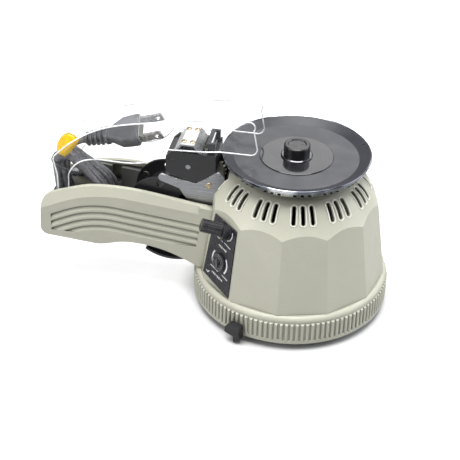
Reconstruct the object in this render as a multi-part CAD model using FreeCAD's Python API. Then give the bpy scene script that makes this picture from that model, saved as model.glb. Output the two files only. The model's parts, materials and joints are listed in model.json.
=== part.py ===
"""Carousel tape dispenser: a motor feeds tape from a hub between two arms over rollers
to a cutter, and the cut pieces hang on the bright rim of a turntable above the body.

Millimetres, +Z up. The model is drawn round the turntable's axis, with the arms along -X
and the front, with the controls, towards -Y. It is saved with its origin in the middle of
its footprint, on the surface that it stands on.
"""
import FreeCAD
import Part
import math
import os

V = FreeCAD.Vector
Z_UP = V(0, 0, 1)
Y_BACK = V(0, 1, 0)
X_AHEAD = V(1, 0, 0)

# ---- base
RING_RADIUS = 60.0            # over the ribs
RIB_DEPTH = 1.1
RIB_COUNT = 120
RING_BOTTOM = 4.5
RIB_BOTTOM = 7.0
RIB_TOP = 19.5
RING_TOP = 23.3
RING_WALL = 2.4
BASE_PLATE = 1.2              # steel sheet
PLATE_HOLE = 10.5
FOOT_RADIUS = 5.5
FOOT_CIRCLE = 49.0
FOOT_ANGLES = (-61, 61, 145, -145)
SUCTION_RADIUS = 38.0
SUCTION_GAP = 0.4             # cup above the table while unlocked
SUCTION_LIFT = 1.5
LEVER_ANGLE = -114.0
LEVER_AXIS_Z = 8.0
LEVER_REACH = 5.2             # out from the ring
LEVER_SHAFT = 2.0
CAM_RADIUS = 3.5

# ---- body
FACETS = 12
BODY_INSET = 2.6              # facet corners inside the ribs, at the ring
BODY_TAPER = 6.8              # how much the corner radius loses up to the shoulder
SHOULDER_Z = 71.3
BODY_WALL = 2.2
DOME_TOP = 91.0
SLOT_COUNT = 3                # vents in each facet's group
SLOT_STEP = 7.3               # degrees between vents
SLOT_WIDTH = 2.2
SLOT_SHIFT = -1.1             # degrees that the groups stand off the facets' middles
SLOT_LOW = (44.8, 79.3)       # radius and height of a vent's two ends
SLOT_HIGH = (37.6, 88.0)
THROAT_WALL = 1.5

# ---- arms
ARM_REACH = 154.3             # from the axis to the arms' tip
ARM_OUTER = 19.5              # half the width over the arms
ARM_INNER = 14.5              # half the gap between them
ARM_WALL = 2.6
ARM_RIM = 3.0
ARM_BOTTOM = 38.8             # lowest point of the grooved field
GROOVE_COUNT = 4
GROOVE_PITCH = 4.85
GROOVE_HEIGHT = 3.3
GROOVE_DEPTH = 1.7
GROOVE_TOP = 54.9             # top edge of the first groove, at the body
GROOVE_BEND_IN = 32.3         # corner of the first groove, from the arms' tip
GROOVE_BEND_RISE = 7.2        # corner above the end at the body
GROOVE_BEND = 58.0            # bend radius of the first groove
OUTER_SLOPE = 0.48            # fall of grooves and band outside their bend
BAND_EDGE = 62.6              # lower edge of the leaning top band, at the body
BAND_BEND_IN = 33.8
BAND_BEND_RISE = 6.85
BAND_BEND = 80.0
BAND_LEAN = 23.0              # degrees
BAND_HEIGHT = 14.0
RAIL_PROUD = 2.0              # rails stand out of the arms' rims
RAIL_HEIGHT = 17.0
RAIL_FAR = (29.9, 70.6)       # from the arms' tip, and height of the top
RAIL_NEAR_Z = 64.8
SPARE_SEAT_IN = 41.3          # second seat for the hub, from the arms' tip
TRAY_Z = 35.4
TRAY_THICK = 1.8
TRAY_LENGTH = 44.3
TRAY_WALL_TOP = 57.0

# ---- tape hub
HUB_CLEAR = 22.6              # hub axle ahead of the body's foot
HUB_Z = 60.0
HUB_FLANGE = 20.0
HUB_CORE = 12.5
HUB_HALF = 11.4
HUB_AXLE = 3.0
FLANGE_THICK = 1.6
WELL_RADIUS = 30.0
WELL_WALL = 1.6

# ---- cover
COVER_HALF = 13.0
COVER_WALL = 1.5
COVER_PIVOT_IN = 14.3         # from the arms' tip
COVER_PIVOT_Z = 62.0
COVER_OPEN_IN = 26.0          # the roof starts this far from the arms' tip
PIN_RADIUS = 2.0
PIVOT_BOSS = 4.2

# ---- turntable
DISC_RADIUS = 44.3
DISC_TOP = 101.8
DISC_FLAT_Z = 99.0
DISC_SLOPE = 7.3              # width of the plate's rising edge
RIM_DROP = 5.9
RIM_INSET = 3.3
RIM_THICK = 0.9
RIM_BULGE = 0.5
INNER_PLATE_RADIUS = 21.9
INNER_PLATE_THICK = 0.5
KNOB_RADIUS = 7.8
KNOB_TOP = 107.2
COLLAR_RADIUS = 9.4
SPINDLE_RADIUS = 4.0
BUSH_RADIUS = 6.0
TABLE_GEAR_TEETH = 48
TABLE_PINION_TEETH = 12
TABLE_MODULE = 1.0
TABLE_GEAR_Z = 78.5
TABLE_GEAR_THICK = 3.0
TABLE_MOTOR_ANGLE = 60.0
TABLE_MOTOR_RADIUS = 10.0

# ---- feed and cutter
ROLLER_AHEAD = 18.7           # roller axis ahead of the disc's edge
ROLLER_Z = 90.0
ROLLER_RADIUS = 6.5
ROLLER_HALF = 6.8
PINCH_RADIUS = 4.0
PINCH_ANGLE = 155.0           # from the roller, up and away from the body
NIP = 0.3
FEED_SHAFT = 1.5
FEED_MODULE = 0.8
FEED_TEETH = 18
IDLER_TEETH = 22
FEED_PINION_TEETH = 12
IDLER_ANGLE = -50.0
FEED_PINION_ANGLE = -70.0
FEED_GEAR_Y = (7.2, 9.1)
FEED_MOTOR_RADIUS = 8.0
PLATE_OUT = 13.0              # half the width over the steel side plates
PLATE_THICK = 1.2
CHEEK_IN = 9.5                # half the gap between the frame's cheeks
CUTTER_X_AHEAD = 4.4          # blade line ahead of the disc's edge
CUTTER_DROP = 4.0             # the cutter's stroke
FRAME_BOTTOM = 52.0
FRAME_LENGTH = 14.5
THROAT_BEHIND = 24.6          # throat wall behind the roller
BRACKET_Z = 99.6
BRACKET_RISE = 4.4
BRACKET_THICK = 1.0
BLADE_HALF = 7.0
BLADE_TOP = 100.2
SCREW_HEAD = 0.9
PLATE_SCREW_RADIUS = 2.0

# ---- controls
PANEL_ANGLE = -135.0
PANEL_THICK = 0.8
WIDTH_KNOB_AT = (2.0, 65.3)   # across the panel's facet, and up it
WIDTH_KNOB_RADIUS = 4.0
WIDTH_KNOB_LENGTH = 12.6
WIDTH_KNOB_TILT = 32.3        # degrees from the facet's normal
WIDTH_KNOB_TURN = 159.7       # direction of the tilt across the facet
LENGTH_DIAL_AT = (-0.6, 43.0)
LENGTH_DIAL_RADIUS = 5.2
STEM_RADIUS = 1.8
POT_RADIUS = 7.5
POT_DEPTH = 6.0

# ---- lead and plug
CORD_RADIUS = 2.0
GLAND_Z = 34.5
GLAND_LENGTH = 21.5
HANK_HALF = 9.5
PLUG_TILT = 18.0              # plug axis above the horizontal
PLUG_ROLL = 62.0
PLUG_WIDTH = 20.0
PLUG_THICK = 8.5
PLUG_LENGTH = 36.0
BLADE_SPACING = 12.7
BLADE_LENGTH = 13.5
BLADE_WIDTH = 6.3
BLADE_THICK = 1.5
TAG_THICK = 0.5
TAG_Y = -7.0

# ---- clearances
RUN = 0.05                    # radial, shaft in hole
CLEAR = 0.3

# ---- worked out from the sizes above
BODY_LOW = RING_RADIUS - BODY_INSET
BODY_HIGH = BODY_LOW - BODY_TAPER
TAPER = BODY_TAPER / (SHOULDER_Z - RING_TOP)
FACET_HALF = math.radians(180.0 / FACETS)
AXIS_X = (ARM_REACH - RING_RADIUS) / 2
HUB_X = -(BODY_LOW + HUB_CLEAR)
DISC_FLAT_RADIUS = DISC_RADIUS - DISC_SLOPE
ROLLER_X = -(DISC_RADIUS + ROLLER_AHEAD)
PLATE_TOP = RING_BOTTOM + BASE_PLATE
CUP_TOP = RING_BOTTOM - SUCTION_LIFT - 0.1
SPINDLE_TOP = KNOB_TOP - 1.8
THROAT_X = ROLLER_X + THROAT_BEHIND
CUTTER_X = -(DISC_RADIUS + CUTTER_X_AHEAD)
GLAND_END_X = -(BODY_LOW + 1.1 + GLAND_LENGTH)
KNOB_RISE = WIDTH_KNOB_RADIUS * math.tan(math.radians(WIDTH_KNOB_TILT)) + PANEL_THICK + CLEAR


def polar(x, z, distance, degrees):
    a = math.radians(degrees)
    return (x + distance * math.cos(a), z + distance * math.sin(a))


IDLER = polar(ROLLER_X, ROLLER_Z, FEED_MODULE * (FEED_TEETH + IDLER_TEETH) / 2, IDLER_ANGLE)
FEED_DRIVE = polar(*IDLER, FEED_MODULE * (IDLER_TEETH + FEED_PINION_TEETH) / 2, FEED_PINION_ANGLE)
PINCH = polar(ROLLER_X, ROLLER_Z, ROLLER_RADIUS + PINCH_RADIUS + NIP, PINCH_ANGLE)
PLATE_SCREWS = ((ROLLER_X + 7, 60), (ROLLER_X + 13, 79.5))


# ---------------------------------------------------------------- drawing helpers
def corner_radius(z):
    """Radius of the body's facet corners at a height."""
    return BODY_LOW - TAPER * (z - RING_TOP)


def side(x, z):
    return V(x, 0, z)


def flat(x, y):
    return V(x, y, 0)


def outline(to_space, start, *steps):
    """Closed wire. A step is a point, a (via, end) pair for an arc, or a list of points
    for one smooth curve."""
    edges = []
    here = start
    for step in steps:
        if isinstance(step, list):
            curve = Part.BSplineCurve()
            curve.interpolate([to_space(*p) for p in [here] + step])
            edges.append(curve.toShape())
            here = step[-1]
        elif isinstance(step[0], tuple):
            via, end = step
            edges.append(Part.Arc(to_space(*here), to_space(*via), to_space(*end)).toShape())
            here = end
        else:
            edges.append(Part.makeLine(to_space(*here), to_space(*step)))
            here = step
    if here != start:
        edges.append(Part.makeLine(to_space(*here), to_space(*start)))
    return Part.Wire(edges)


def revolved(start, *steps):
    """Solid turned about Z from an outline of (radius, z)."""
    return Part.Face(outline(side, start, *steps)).revolve(V(0, 0, 0), Z_UP, 360)


def slab(y_low, y_high, start, *steps):
    """Plate from an outline of (x, z), between two values of y."""
    face = Part.Face(outline(side, start, *steps))
    face.translate(V(0, y_low, 0))
    return face.extrude(V(0, y_high - y_low, 0))


def block(x0, x1, y0, y1, z0, z1):
    return Part.makeBox(x1 - x0, y1 - y0, z1 - z0, V(x0, y0, z0))


def rod(radius, start, end):
    return Part.makeCylinder(radius, (end - start).Length, start, end - start)


def rod_y(radius, x, z, y_low, y_high):
    return rod(radius, V(x, y_low, z), V(x, y_high, z))


def rod_z(radius, x, y, z_low, z_high):
    return rod(radius, V(x, y, z_low), V(x, y, z_high))


def turned(shape, degrees, centre=V(0, 0, 0), axis=Z_UP):
    copy = shape.copy()
    copy.rotate(centre, axis, degrees)
    return copy


def mirrored(shape):
    """The same piece on the other side of the arms' middle plane."""
    return shape.mirror(V(0, 0, 0), Y_BACK)


def at_angle(radius, degrees, z=0.0):
    a = math.radians(degrees)
    return V(radius * math.cos(a), radius * math.sin(a), z)


def gear_outline(teeth, module, phase):
    """Straight-flanked teeth, with a tooth centred at the phase angle in degrees."""
    pitch = module * teeth / 2
    root, tip = pitch - 1.2 * module, pitch + 0.95 * module
    step = 2 * math.pi / teeth
    points = []
    for tooth in range(teeth):
        middle = math.radians(phase) + tooth * step
        for radius, share in ((root, -0.33), (tip, -0.09), (tip, 0.09), (root, 0.33)):
            angle = middle + share * step
            points.append((radius * math.cos(angle), radius * math.sin(angle)))
    return points


def gear_z(teeth, module, phase, x, y, z, thick):
    points = gear_outline(teeth, module, phase)
    gear = Part.Face(outline(flat, points[0], *points[1:])).extrude(V(0, 0, thick))
    gear.translate(V(x, y, z))
    return gear


def gear_y(teeth, module, phase, x, z, y_low, y_high):
    points = gear_outline(teeth, module, phase)
    gear = slab(y_low, y_high, points[0], *points[1:])
    gear.translate(V(x, 0, z))
    return gear


def save(name, shape):
    """Writes one node, moved so that the frame's origin is under the footprint's middle."""
    placed = shape.copy()
    placed.translate(V(AXIS_X, 0, 0))
    placed.exportStep("parts/%s.step" % name)


# ---------------------------------------------------------------- base
def base_ring():
    root = RING_RADIUS - RIB_DEPTH
    inner = root - RING_WALL
    ring = revolved((inner, RING_BOTTOM), (root + 0.3, RING_BOTTOM), (root + 0.8, RING_BOTTOM + 0.6),
                    (root + 0.8, RIB_BOTTOM), (root, RIB_BOTTOM + 0.5), (root, RIB_TOP),
                    ((BODY_LOW + 0.9, RING_TOP - 0.9), (BODY_LOW - 0.6, RING_TOP)),
                    (BODY_LOW - 4, RING_TOP), (BODY_LOW - 4, RING_TOP - 1.6), (inner, RING_TOP - 3.2))
    outside = RING_RADIUS + 1
    envelope = revolved((root - 1, RIB_BOTTOM), (outside, RIB_BOTTOM), (outside, RIB_TOP - 1.8),
                        (root - 0.3, RIB_TOP), (root - 1, RIB_TOP))
    ring = ring.fuse(ribbed_disc(root).common(envelope))
    shaft_hole = rod(LEVER_SHAFT + RUN, at_angle(inner - 5, LEVER_ANGLE, LEVER_AXIS_Z),
                     at_angle(RING_RADIUS + 5, LEVER_ANGLE, LEVER_AXIS_Z))
    return ring.cut(shaft_hole)


def ribbed_disc(root):
    """Disc with rounded upright ribs on its edge, standing out from a root radius."""
    step = 360.0 / RIB_COUNT
    edges = []
    for rib in range(RIB_COUNT):
        low, high = (rib - 0.36) * step, (rib + 0.36) * step
        end = at_angle(root, high)
        crest = at_angle(RING_RADIUS, rib * step)
        edges.append(Part.Arc(at_angle(root, low), crest, end).toShape())
        edges.append(Part.makeLine(end, at_angle(root, low + step)))
    disc = Part.Face(Part.Wire(edges)).extrude(V(0, 0, RIB_TOP - RIB_BOTTOM))
    disc.translate(V(0, 0, RIB_BOTTOM))
    return disc


def base_plate():
    plate = rod_z(RING_RADIUS - RIB_DEPTH - RING_WALL, 0, 0, RING_BOTTOM, PLATE_TOP)
    return plate.cut(rod_z(PLATE_HOLE, 0, 0, 0, PLATE_TOP + 1))


def rubber_feet():
    feet = []
    for angle in FOOT_ANGLES:
        foot = Part.makeCone(FOOT_RADIUS - 0.7, FOOT_RADIUS, RING_BOTTOM)
        foot.translate(at_angle(FOOT_CIRCLE, angle))
        feet.append(foot)
    return Part.Compound(feet)


def suction_cup():
    return revolved((0, CUP_TOP - 1.2), (SUCTION_RADIUS - 8, CUP_TOP - 1.4),
                    (SUCTION_RADIUS, SUCTION_GAP), (SUCTION_RADIUS, SUCTION_GAP + 0.7),
                    (SUCTION_RADIUS - 7, CUP_TOP), (0, CUP_TOP))


def suction_stem():
    foot = SUCTION_RADIUS / 5
    head = LEVER_AXIS_Z + CAM_RADIUS + 0.5
    return revolved((0, CUP_TOP), (foot, CUP_TOP), (foot, CUP_TOP + 1.6), (3, CUP_TOP + 1.6), (3, head),
                    (9, head), (9, head + 2), (0, head + 2))


def lever_shaft():
    shaft = rod(LEVER_SHAFT, at_angle(7.5, LEVER_ANGLE, LEVER_AXIS_Z),
                at_angle(RING_RADIUS + CLEAR, LEVER_ANGLE, LEVER_AXIS_Z))
    sideways = at_angle(SUCTION_LIFT, LEVER_ANGLE + 90)
    cam = rod(CAM_RADIUS, at_angle(5, LEVER_ANGLE, LEVER_AXIS_Z) + sideways,
              at_angle(7.5, LEVER_ANGLE, LEVER_AXIS_Z) + sideways)
    return shaft.fuse(cam)


def suction_lever():
    """Rounded cap over a finger fin, drawn with its shaft along X and turned to its place."""
    inner = RING_RADIUS + CLEAR
    thick = LEVER_REACH - CLEAR

    def on_ring(y, height):
        return V(inner, y, LEVER_AXIS_Z + height)
    cap = outline(on_ring, (-5, -1), (-5, 2.6), (-2.6, 5), (4.4, 5), (5, 4.4), (5, -1), (1.4, -2.2))
    fin = outline(on_ring, (0.2, -1), (5, -1), (5, -4.4), (1.6, -7), (0.8, -7))
    lever = Part.Face(cap).extrude(V(thick, 0, 0))
    return turned(lever.fuse(Part.Face(fin).extrude(V(thick - 0.8, 0, 0))), LEVER_ANGLE)


# ---------------------------------------------------------------- body
def faceted(inset, z_low, z_high):
    """Tapered twelve-sided solid, its faces moved inwards by inset."""
    rings = []
    for z in (z_low, z_high):
        radius = corner_radius(z) - inset / math.cos(FACET_HALF)
        points = [at_angle(radius, 360.0 * k / FACETS, z) for k in range(FACETS + 1)]
        rings.append(Part.makePolygon(points))
    return Part.makeLoft(rings, True, True)


def dome(inset, z_low):
    """Turned solid whose profile runs over the shoulder to the flat top."""
    top = DOME_TOP - inset
    rise = top - SHOULDER_Z
    return revolved((0, z_low), (BODY_LOW + 9, z_low), (BODY_HIGH - inset, SHOULDER_Z - 0.8 * inset),
                    [(BODY_HIGH - 4.1 - inset, SHOULDER_Z + 0.32 * rise),
                     (BODY_HIGH - 9.4 - inset, SHOULDER_Z + 0.70 * rise),
                     (BODY_HIGH - 20 - inset, top)],
                    (0, top))


def body_outside():
    return faceted(0, RING_TOP, DOME_TOP + 4).common(dome(0, RING_TOP))


def slot_tool():
    """One vent, drawn in the XZ plane across the dome at azimuth 0."""
    low, high = side(*SLOT_LOW), side(*SLOT_HIGH)
    along = (high - low).normalize()
    out = V(along.z, 0, -along.x)
    half = V(0, SLOT_WIDTH / 2, 0)
    end = along * SLOT_WIDTH / 2
    depth = 6
    a, b = low + end - out * depth, high - end - out * depth
    edges = [Part.makeLine(a - half, b - half), Part.Arc(b - half, b + end, b + half).toShape(),
             Part.makeLine(b + half, a + half), Part.Arc(a + half, a - end, a - half).toShape()]
    return Part.Face(Part.Wire(edges)).extrude(out * 2 * depth)


def body_shell():
    inside = faceted(BODY_WALL, RING_TOP - 1, DOME_TOP + 4).common(dome(BODY_WALL, RING_TOP - 1))
    shell = body_outside().cut(inside)
    half = PLATE_OUT + CLEAR
    throat = block(-BODY_LOW - 5, THROAT_X, -half, half, FRAME_BOTTOM - CLEAR, DOME_TOP + 1)
    cuts = [throat, rod_z(BUSH_RADIUS + 2, 0, 0, DOME_TOP - 5, DOME_TOP + 5)]
    slot = slot_tool()
    for facet in range(FACETS):
        centre = 360.0 / FACETS * (facet + 0.5)
        if abs(centre - 180) < 30:
            continue
        for k in range(SLOT_COUNT):
            cuts.append(turned(slot, centre + SLOT_SHIFT + (k - (SLOT_COUNT - 1) / 2) * SLOT_STEP))
    cuts.append(rod(CORD_RADIUS + 0.2, V(-BODY_LOW - 5, 0, GLAND_Z), V(-BODY_LOW + 12, 0, GLAND_Z)))
    cuts += [on_width_knob(stem_hole(9)), on_length_dial(stem_hole(9))]
    reach = half + SCREW_HEAD
    cuts += [rod_y(PLATE_SCREW_RADIUS + CLEAR, x, z, -reach, reach) for x, z in PLATE_SCREWS]
    return shell.cut(cuts)


def on_panel(shape):
    """Moves a shape drawn as (tangent, height up the facet, outwards) on to the panel's facet."""
    lean = math.atan(TAPER * math.cos(FACET_HALF))
    apothem = corner_radius(0) * math.cos(FACET_HALF)
    a = math.radians(PANEL_ANGLE)
    tangent = V(-math.sin(a), math.cos(a), 0)
    outward = V(math.cos(a) * math.cos(lean), math.sin(a) * math.cos(lean), math.sin(lean))
    up = outward.cross(tangent)
    foot = at_angle(apothem, PANEL_ANGLE)
    rows = [(tangent[k], up[k], outward[k], foot[k]) for k in range(3)]
    matrix = FreeCAD.Matrix(*rows[0], *rows[1], *rows[2], 0, 0, 0, 1)
    copy = shape.copy()
    copy.Placement = FreeCAD.Placement(matrix).multiply(copy.Placement)
    return copy


def on_width_knob(shape):
    """Moves a shape drawn upwards from the origin on to the width knob's leaning axis."""
    copy = shape.copy()
    copy.rotate(V(0, 0, 0), Y_BACK, WIDTH_KNOB_TILT)
    copy.rotate(V(0, 0, 0), Z_UP, WIDTH_KNOB_TURN)
    copy.translate(V(*WIDTH_KNOB_AT, 0))
    return on_panel(copy)


def on_length_dial(shape):
    copy = shape.copy()
    copy.translate(V(*LENGTH_DIAL_AT, 0))
    return on_panel(copy)


def stem_hole(depth):
    return Part.makeCylinder(STEM_RADIUS + RUN, depth + 9, V(0, 0, -depth))


def throat_wall():
    half = PLATE_OUT + CLEAR
    wall = block(THROAT_X - THROAT_WALL, THROAT_X, -half, half, FRAME_BOTTOM, DOME_TOP)
    return wall.common(body_outside())


def panel_plate():
    """Plate with a round collar, cut square to the width knob's leaning axis."""
    corners = ((-15.2, 28.3), (11.7, 24.7), (10.5, 69.6), (-11.3, 70.3))
    plate = on_panel(Part.Face(outline(flat, *corners)).extrude(V(0, 0, PANEL_THICK)))
    collar = Part.makeCylinder(WIDTH_KNOB_RADIUS + 0.4, 2 * KNOB_RISE, V(*WIDTH_KNOB_AT, 0))
    above = Part.makeBox(40, 40, 20, V(-20, -20, KNOB_RISE))
    collar = on_panel(collar).cut(on_width_knob(above))
    return plate.fuse(collar).cut([on_width_knob(stem_hole(4)), on_length_dial(stem_hole(4))])


def width_knob():
    base = KNOB_RISE + CLEAR
    knob = Part.makeCylinder(WIDTH_KNOB_RADIUS, WIDTH_KNOB_LENGTH, V(0, 0, base))
    flutes = 12
    for k in range(flutes):
        groove = Part.makeCylinder(0.8, WIDTH_KNOB_LENGTH, V(WIDTH_KNOB_RADIUS + 0.45, 0, base + 1.5))
        knob = knob.cut(turned(groove, 360.0 * k / flutes))
    below = pot_top(WIDTH_KNOB_TILT) + 4
    return on_width_knob(knob.fuse(Part.makeCylinder(STEM_RADIUS, base + below, V(0, 0, -below))))


def length_dial():
    base = PANEL_THICK + CLEAR
    dial = Part.makeCylinder(LENGTH_DIAL_RADIUS, 1.4, V(0, 0, base))
    dial = dial.cut(Part.makeCylinder(LENGTH_DIAL_RADIUS - 1.3, 1, V(0, 0, base + 0.8)))
    dial = dial.fuse(Part.makeCylinder(2.4, 3.4, V(0, 0, base)))
    dial = dial.cut(Part.makeBox(0.8, 6, 2, V(-0.4, -3, base + 2.4)))
    below = pot_top(0) + 4
    return on_length_dial(dial.fuse(Part.makeCylinder(STEM_RADIUS, base + 0.5 + below, V(0, 0, -below))))


def pot_top(tilt):
    """Depth along its stem at which a potentiometer's can clears the shell inside."""
    a = math.radians(tilt)
    return (BODY_WALL + POT_RADIUS * math.sin(a) + 2 * CLEAR) / math.cos(a)


def pot_can(tilt):
    top = pot_top(tilt)
    return Part.makeCylinder(POT_RADIUS, POT_DEPTH, V(0, 0, -top - POT_DEPTH)).cut(stem_hole(top + 5))


def control_pots():
    return Part.Compound([on_width_knob(pot_can(WIDTH_KNOB_TILT)), on_length_dial(pot_can(0))])


def control_board():
    return block(-26, 30, -26, 26, RING_TOP + 2, RING_TOP + 3.6)


# ---------------------------------------------------------------- arms
def tip(inwards):
    return inwards - ARM_REACH


def arm_face(inset=0.0):
    """Outline of an arm's side, from its lower corner at the body, moved inwards by inset."""
    right = THROAT_X + 2
    foot = -BODY_LOW + 3.7
    low = RING_TOP + 0.3 + inset
    return ((right, low), (foot, low),
            [(foot - 11, 29 + inset), (foot - 22, 33.2 + inset), (tip(64), 36 + inset),
             (tip(50.6), 35.6 + inset), (tip(40), 32.9 + inset), (tip(35.5), 32.3 + inset)],
            (tip(5.7 + inset / 2), 34.9 + inset),
            ((tip(1.5 + 0.8 * inset), 36.6 + 0.8 * inset), (tip(inset), 40.3 + inset)),
            (tip(0.9 + inset), 55.9 - 0.5 * inset),
            [(tip(2.6 + inset), 60.4 - 0.7 * inset), (tip(15.3 + 0.5 * inset), 67.3 - inset),
             (tip(30.3), 71.9 - inset), (tip(41), 73.1 - inset), (tip(53), 73.2 - inset),
             (tip(66.9), 72.0 - inset), (right, 66.1 - inset)])


def swept_wedge(path_points, radius, height, depth):
    """Wedge cut into the front arm's face, deepest at its top, along a line that bends once."""
    right, corner, left = [V(x, -ARM_OUTER, z) for x, z in path_points]
    back, ahead = (right - corner).normalize(), (left - corner).normalize()
    half_turn = (math.pi - back.getAngle(ahead)) / 2
    reach = radius * math.tan(half_turn)
    enter, leave = corner + back * reach, corner + ahead * reach
    centre = corner + (back + ahead).normalize() * (radius / math.cos(half_turn))
    via = centre + (corner - centre).normalize() * radius
    bend = Part.Arc(enter, via, leave).toShape()
    path = Part.Wire([Part.makeLine(right, enter), bend, Part.makeLine(leave, left)])
    up = V(-back.z, 0, back.x)
    out = V(0, -1, 0)
    top = right + up * height
    section = Part.makePolygon([right + out, top + out, top - out * depth, right, right + out])
    return path.makePipeShell([section], True, True)


def bent_line(end, bend_in, rise):
    """A line along the arm: level with the body's end, up to its corner, then down outside."""
    corner = (tip(bend_in), end[1] + rise)
    far = tip(-6)
    return (end, corner, (far, corner[1] - OUTER_SLOPE * (corner[0] - far)))


def arm_grooves():
    window = block(tip(7), -40, -ARM_OUTER - 2, -ARM_INNER, ARM_BOTTOM, 80)
    tools = []
    for k in range(GROOVE_COUNT):
        low = GROOVE_TOP - GROOVE_HEIGHT - k * GROOVE_PITCH
        line = bent_line((-BODY_LOW + 3.4 - 0.8 * k, low), GROOVE_BEND_IN + 0.5 * k, GROOVE_BEND_RISE)
        tools.append(swept_wedge(line, GROOVE_BEND - 3 * k, GROOVE_HEIGHT, GROOVE_DEPTH).common(window))
    return tools


def top_band():
    """Wedge that makes the arm's top band lean inwards above its lower edge."""
    end_x = -BODY_LOW + 2.9
    depth = BAND_HEIGHT * math.tan(math.radians(BAND_LEAN))
    line = bent_line((end_x, BAND_EDGE), BAND_BEND_IN, BAND_BEND_RISE)
    band = swept_wedge(line, BAND_BEND, BAND_HEIGHT, depth)
    return band.common(block(-ARM_REACH - 9, end_x, -ARM_OUTER - 3, 0, ARM_BOTTOM, 90))


def arm_shell():
    arm = slab(-ARM_OUTER, -ARM_INNER, *arm_face())
    arm = arm.cut(slab(-ARM_OUTER + ARM_WALL, 0, *arm_face(ARM_RIM)))
    arm = arm.cut([top_band()] + arm_grooves())
    pivot = tip(COVER_PIVOT_IN)
    boss = rod_y(PIVOT_BOSS, pivot, COVER_PIVOT_Z, -ARM_OUTER + ARM_WALL, -ARM_INNER)
    arm = arm.fuse(boss).cut(rod_y(PIN_RADIUS, pivot, COVER_PIVOT_Z, -ARM_OUTER + ARM_WALL, 0))
    return arm.cut(faceted(0, RING_TOP - 5, DOME_TOP))


def axle_rail():
    """Rail on the front arm with two open seats for the hub's axle."""
    far, near = tip(RAIL_FAR[0]), HUB_X + 17
    top_far, top_near = RAIL_FAR[1], RAIL_NEAR_Z
    rail = slab(-ARM_OUTER + ARM_WALL, -ARM_INNER + RAIL_PROUD, (far, top_far - RAIL_HEIGHT),
                (near, top_near - RAIL_HEIGHT), (near, top_near), (far, top_far))
    radius = HUB_AXLE + RUN
    for seat in (HUB_X, tip(SPARE_SEAT_IN)):
        rail = rail.cut(rod_y(radius, seat, HUB_Z, -ARM_OUTER, 0))
        rail = rail.cut(block(seat - radius, seat + radius, -ARM_OUTER, 0, HUB_Z, top_far + 2))
    in_pocket = slab(-ARM_OUTER + ARM_WALL, -ARM_INNER, *arm_face(ARM_RIM))
    proud = block(far, near, -ARM_INNER, -ARM_INNER + RAIL_PROUD, 0, top_far)
    return rail.common(in_pocket.fuse(proud))


def tray():
    """Floor with a lip, and an end wall, between the arms' outer ends."""
    half = ARM_INNER
    start, end = tip(6), tip(6 + TRAY_LENGTH)
    top = TRAY_Z + TRAY_THICK
    floor = block(start, end, -half, half, TRAY_Z, top)
    wall = block(start - TRAY_THICK, start, -half, half, TRAY_Z, TRAY_WALL_TOP)
    lip = block(end - TRAY_THICK, end, -half, half, top, top + 1.4)
    return floor.fuse([wall, lip])


def hub_well():
    """Rounded trough under the hub, open at the top."""
    centre = (-(BODY_LOW + 14.6), 54.0)
    low, middle, high = 235, 265, 299
    inner = WELL_RADIUS - WELL_WALL
    return slab(-ARM_INNER, ARM_INNER, polar(*centre, WELL_RADIUS, low),
                (polar(*centre, WELL_RADIUS, middle), polar(*centre, WELL_RADIUS, high)),
                polar(*centre, inner, high), (polar(*centre, inner, middle), polar(*centre, inner, low)))


def rail_screws():
    face = ARM_INNER - RAIL_PROUD
    screws = []
    for x, z in ((tip(34.3), 61), (HUB_X + 13.5, 52.5)):
        for sign in (-1, 1):
            low, high = sorted((sign * face, sign * (face - 0.8)))
            screws.append(rod_y(2.2, x, z, low, high))
    return Part.Compound(screws)


# ---------------------------------------------------------------- tape hub
def hub_axle():
    return rod_y(HUB_AXLE, HUB_X, HUB_Z, -ARM_OUTER + ARM_WALL + CLEAR, ARM_OUTER - ARM_WALL - CLEAR)


def hub_core():
    reach = HUB_HALF - FLANGE_THICK
    core = rod_y(HUB_CORE, HUB_X, HUB_Z, -reach, reach)
    core = core.cut(rod_y(HUB_CORE - 1.8, HUB_X, HUB_Z, -reach, reach))
    core = core.fuse(rod_y(HUB_AXLE + 2, HUB_X, HUB_Z, -reach, reach))
    for k in range(6):
        spoke = block(HUB_X, HUB_X + HUB_CORE - 1, -reach, reach, HUB_Z - 0.8, HUB_Z + 0.8)
        core = core.fuse(turned(spoke, 60 * k, V(HUB_X, 0, HUB_Z), Y_BACK))
    return core.cut(rod_y(HUB_AXLE, HUB_X, HUB_Z, -reach, reach))


def hub_flanges():
    flanges = []
    for sign in (-1, 1):
        low, high = sorted((sign * HUB_HALF, sign * (HUB_HALF - FLANGE_THICK)))
        flange = rod_y(HUB_FLANGE, HUB_X, HUB_Z, low, high)
        holes = [rod_y(HUB_AXLE, HUB_X, HUB_Z, low, high)]
        for k in range(6):
            a = math.radians(60 * k + 30)
            holes.append(rod_y(2.2, HUB_X + 16 * math.cos(a), HUB_Z + 16 * math.sin(a), low, high))
        flanges.append(flange.cut(holes))
    return Part.Compound(flanges)


# ---------------------------------------------------------------- clear cover
def cover_top_points(drop):
    """Top profile from the hinge end to the corner over the disc."""
    near = -DISC_RADIUS
    return [(tip(9.3), 88 - drop), (tip(20.7), 99 - drop), (tip(40.9), 111 - drop), (tip(64.3), 117 - drop),
            (near - 16.6, 122 - drop), (near + 17.5, 125.4 - drop)]


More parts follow.
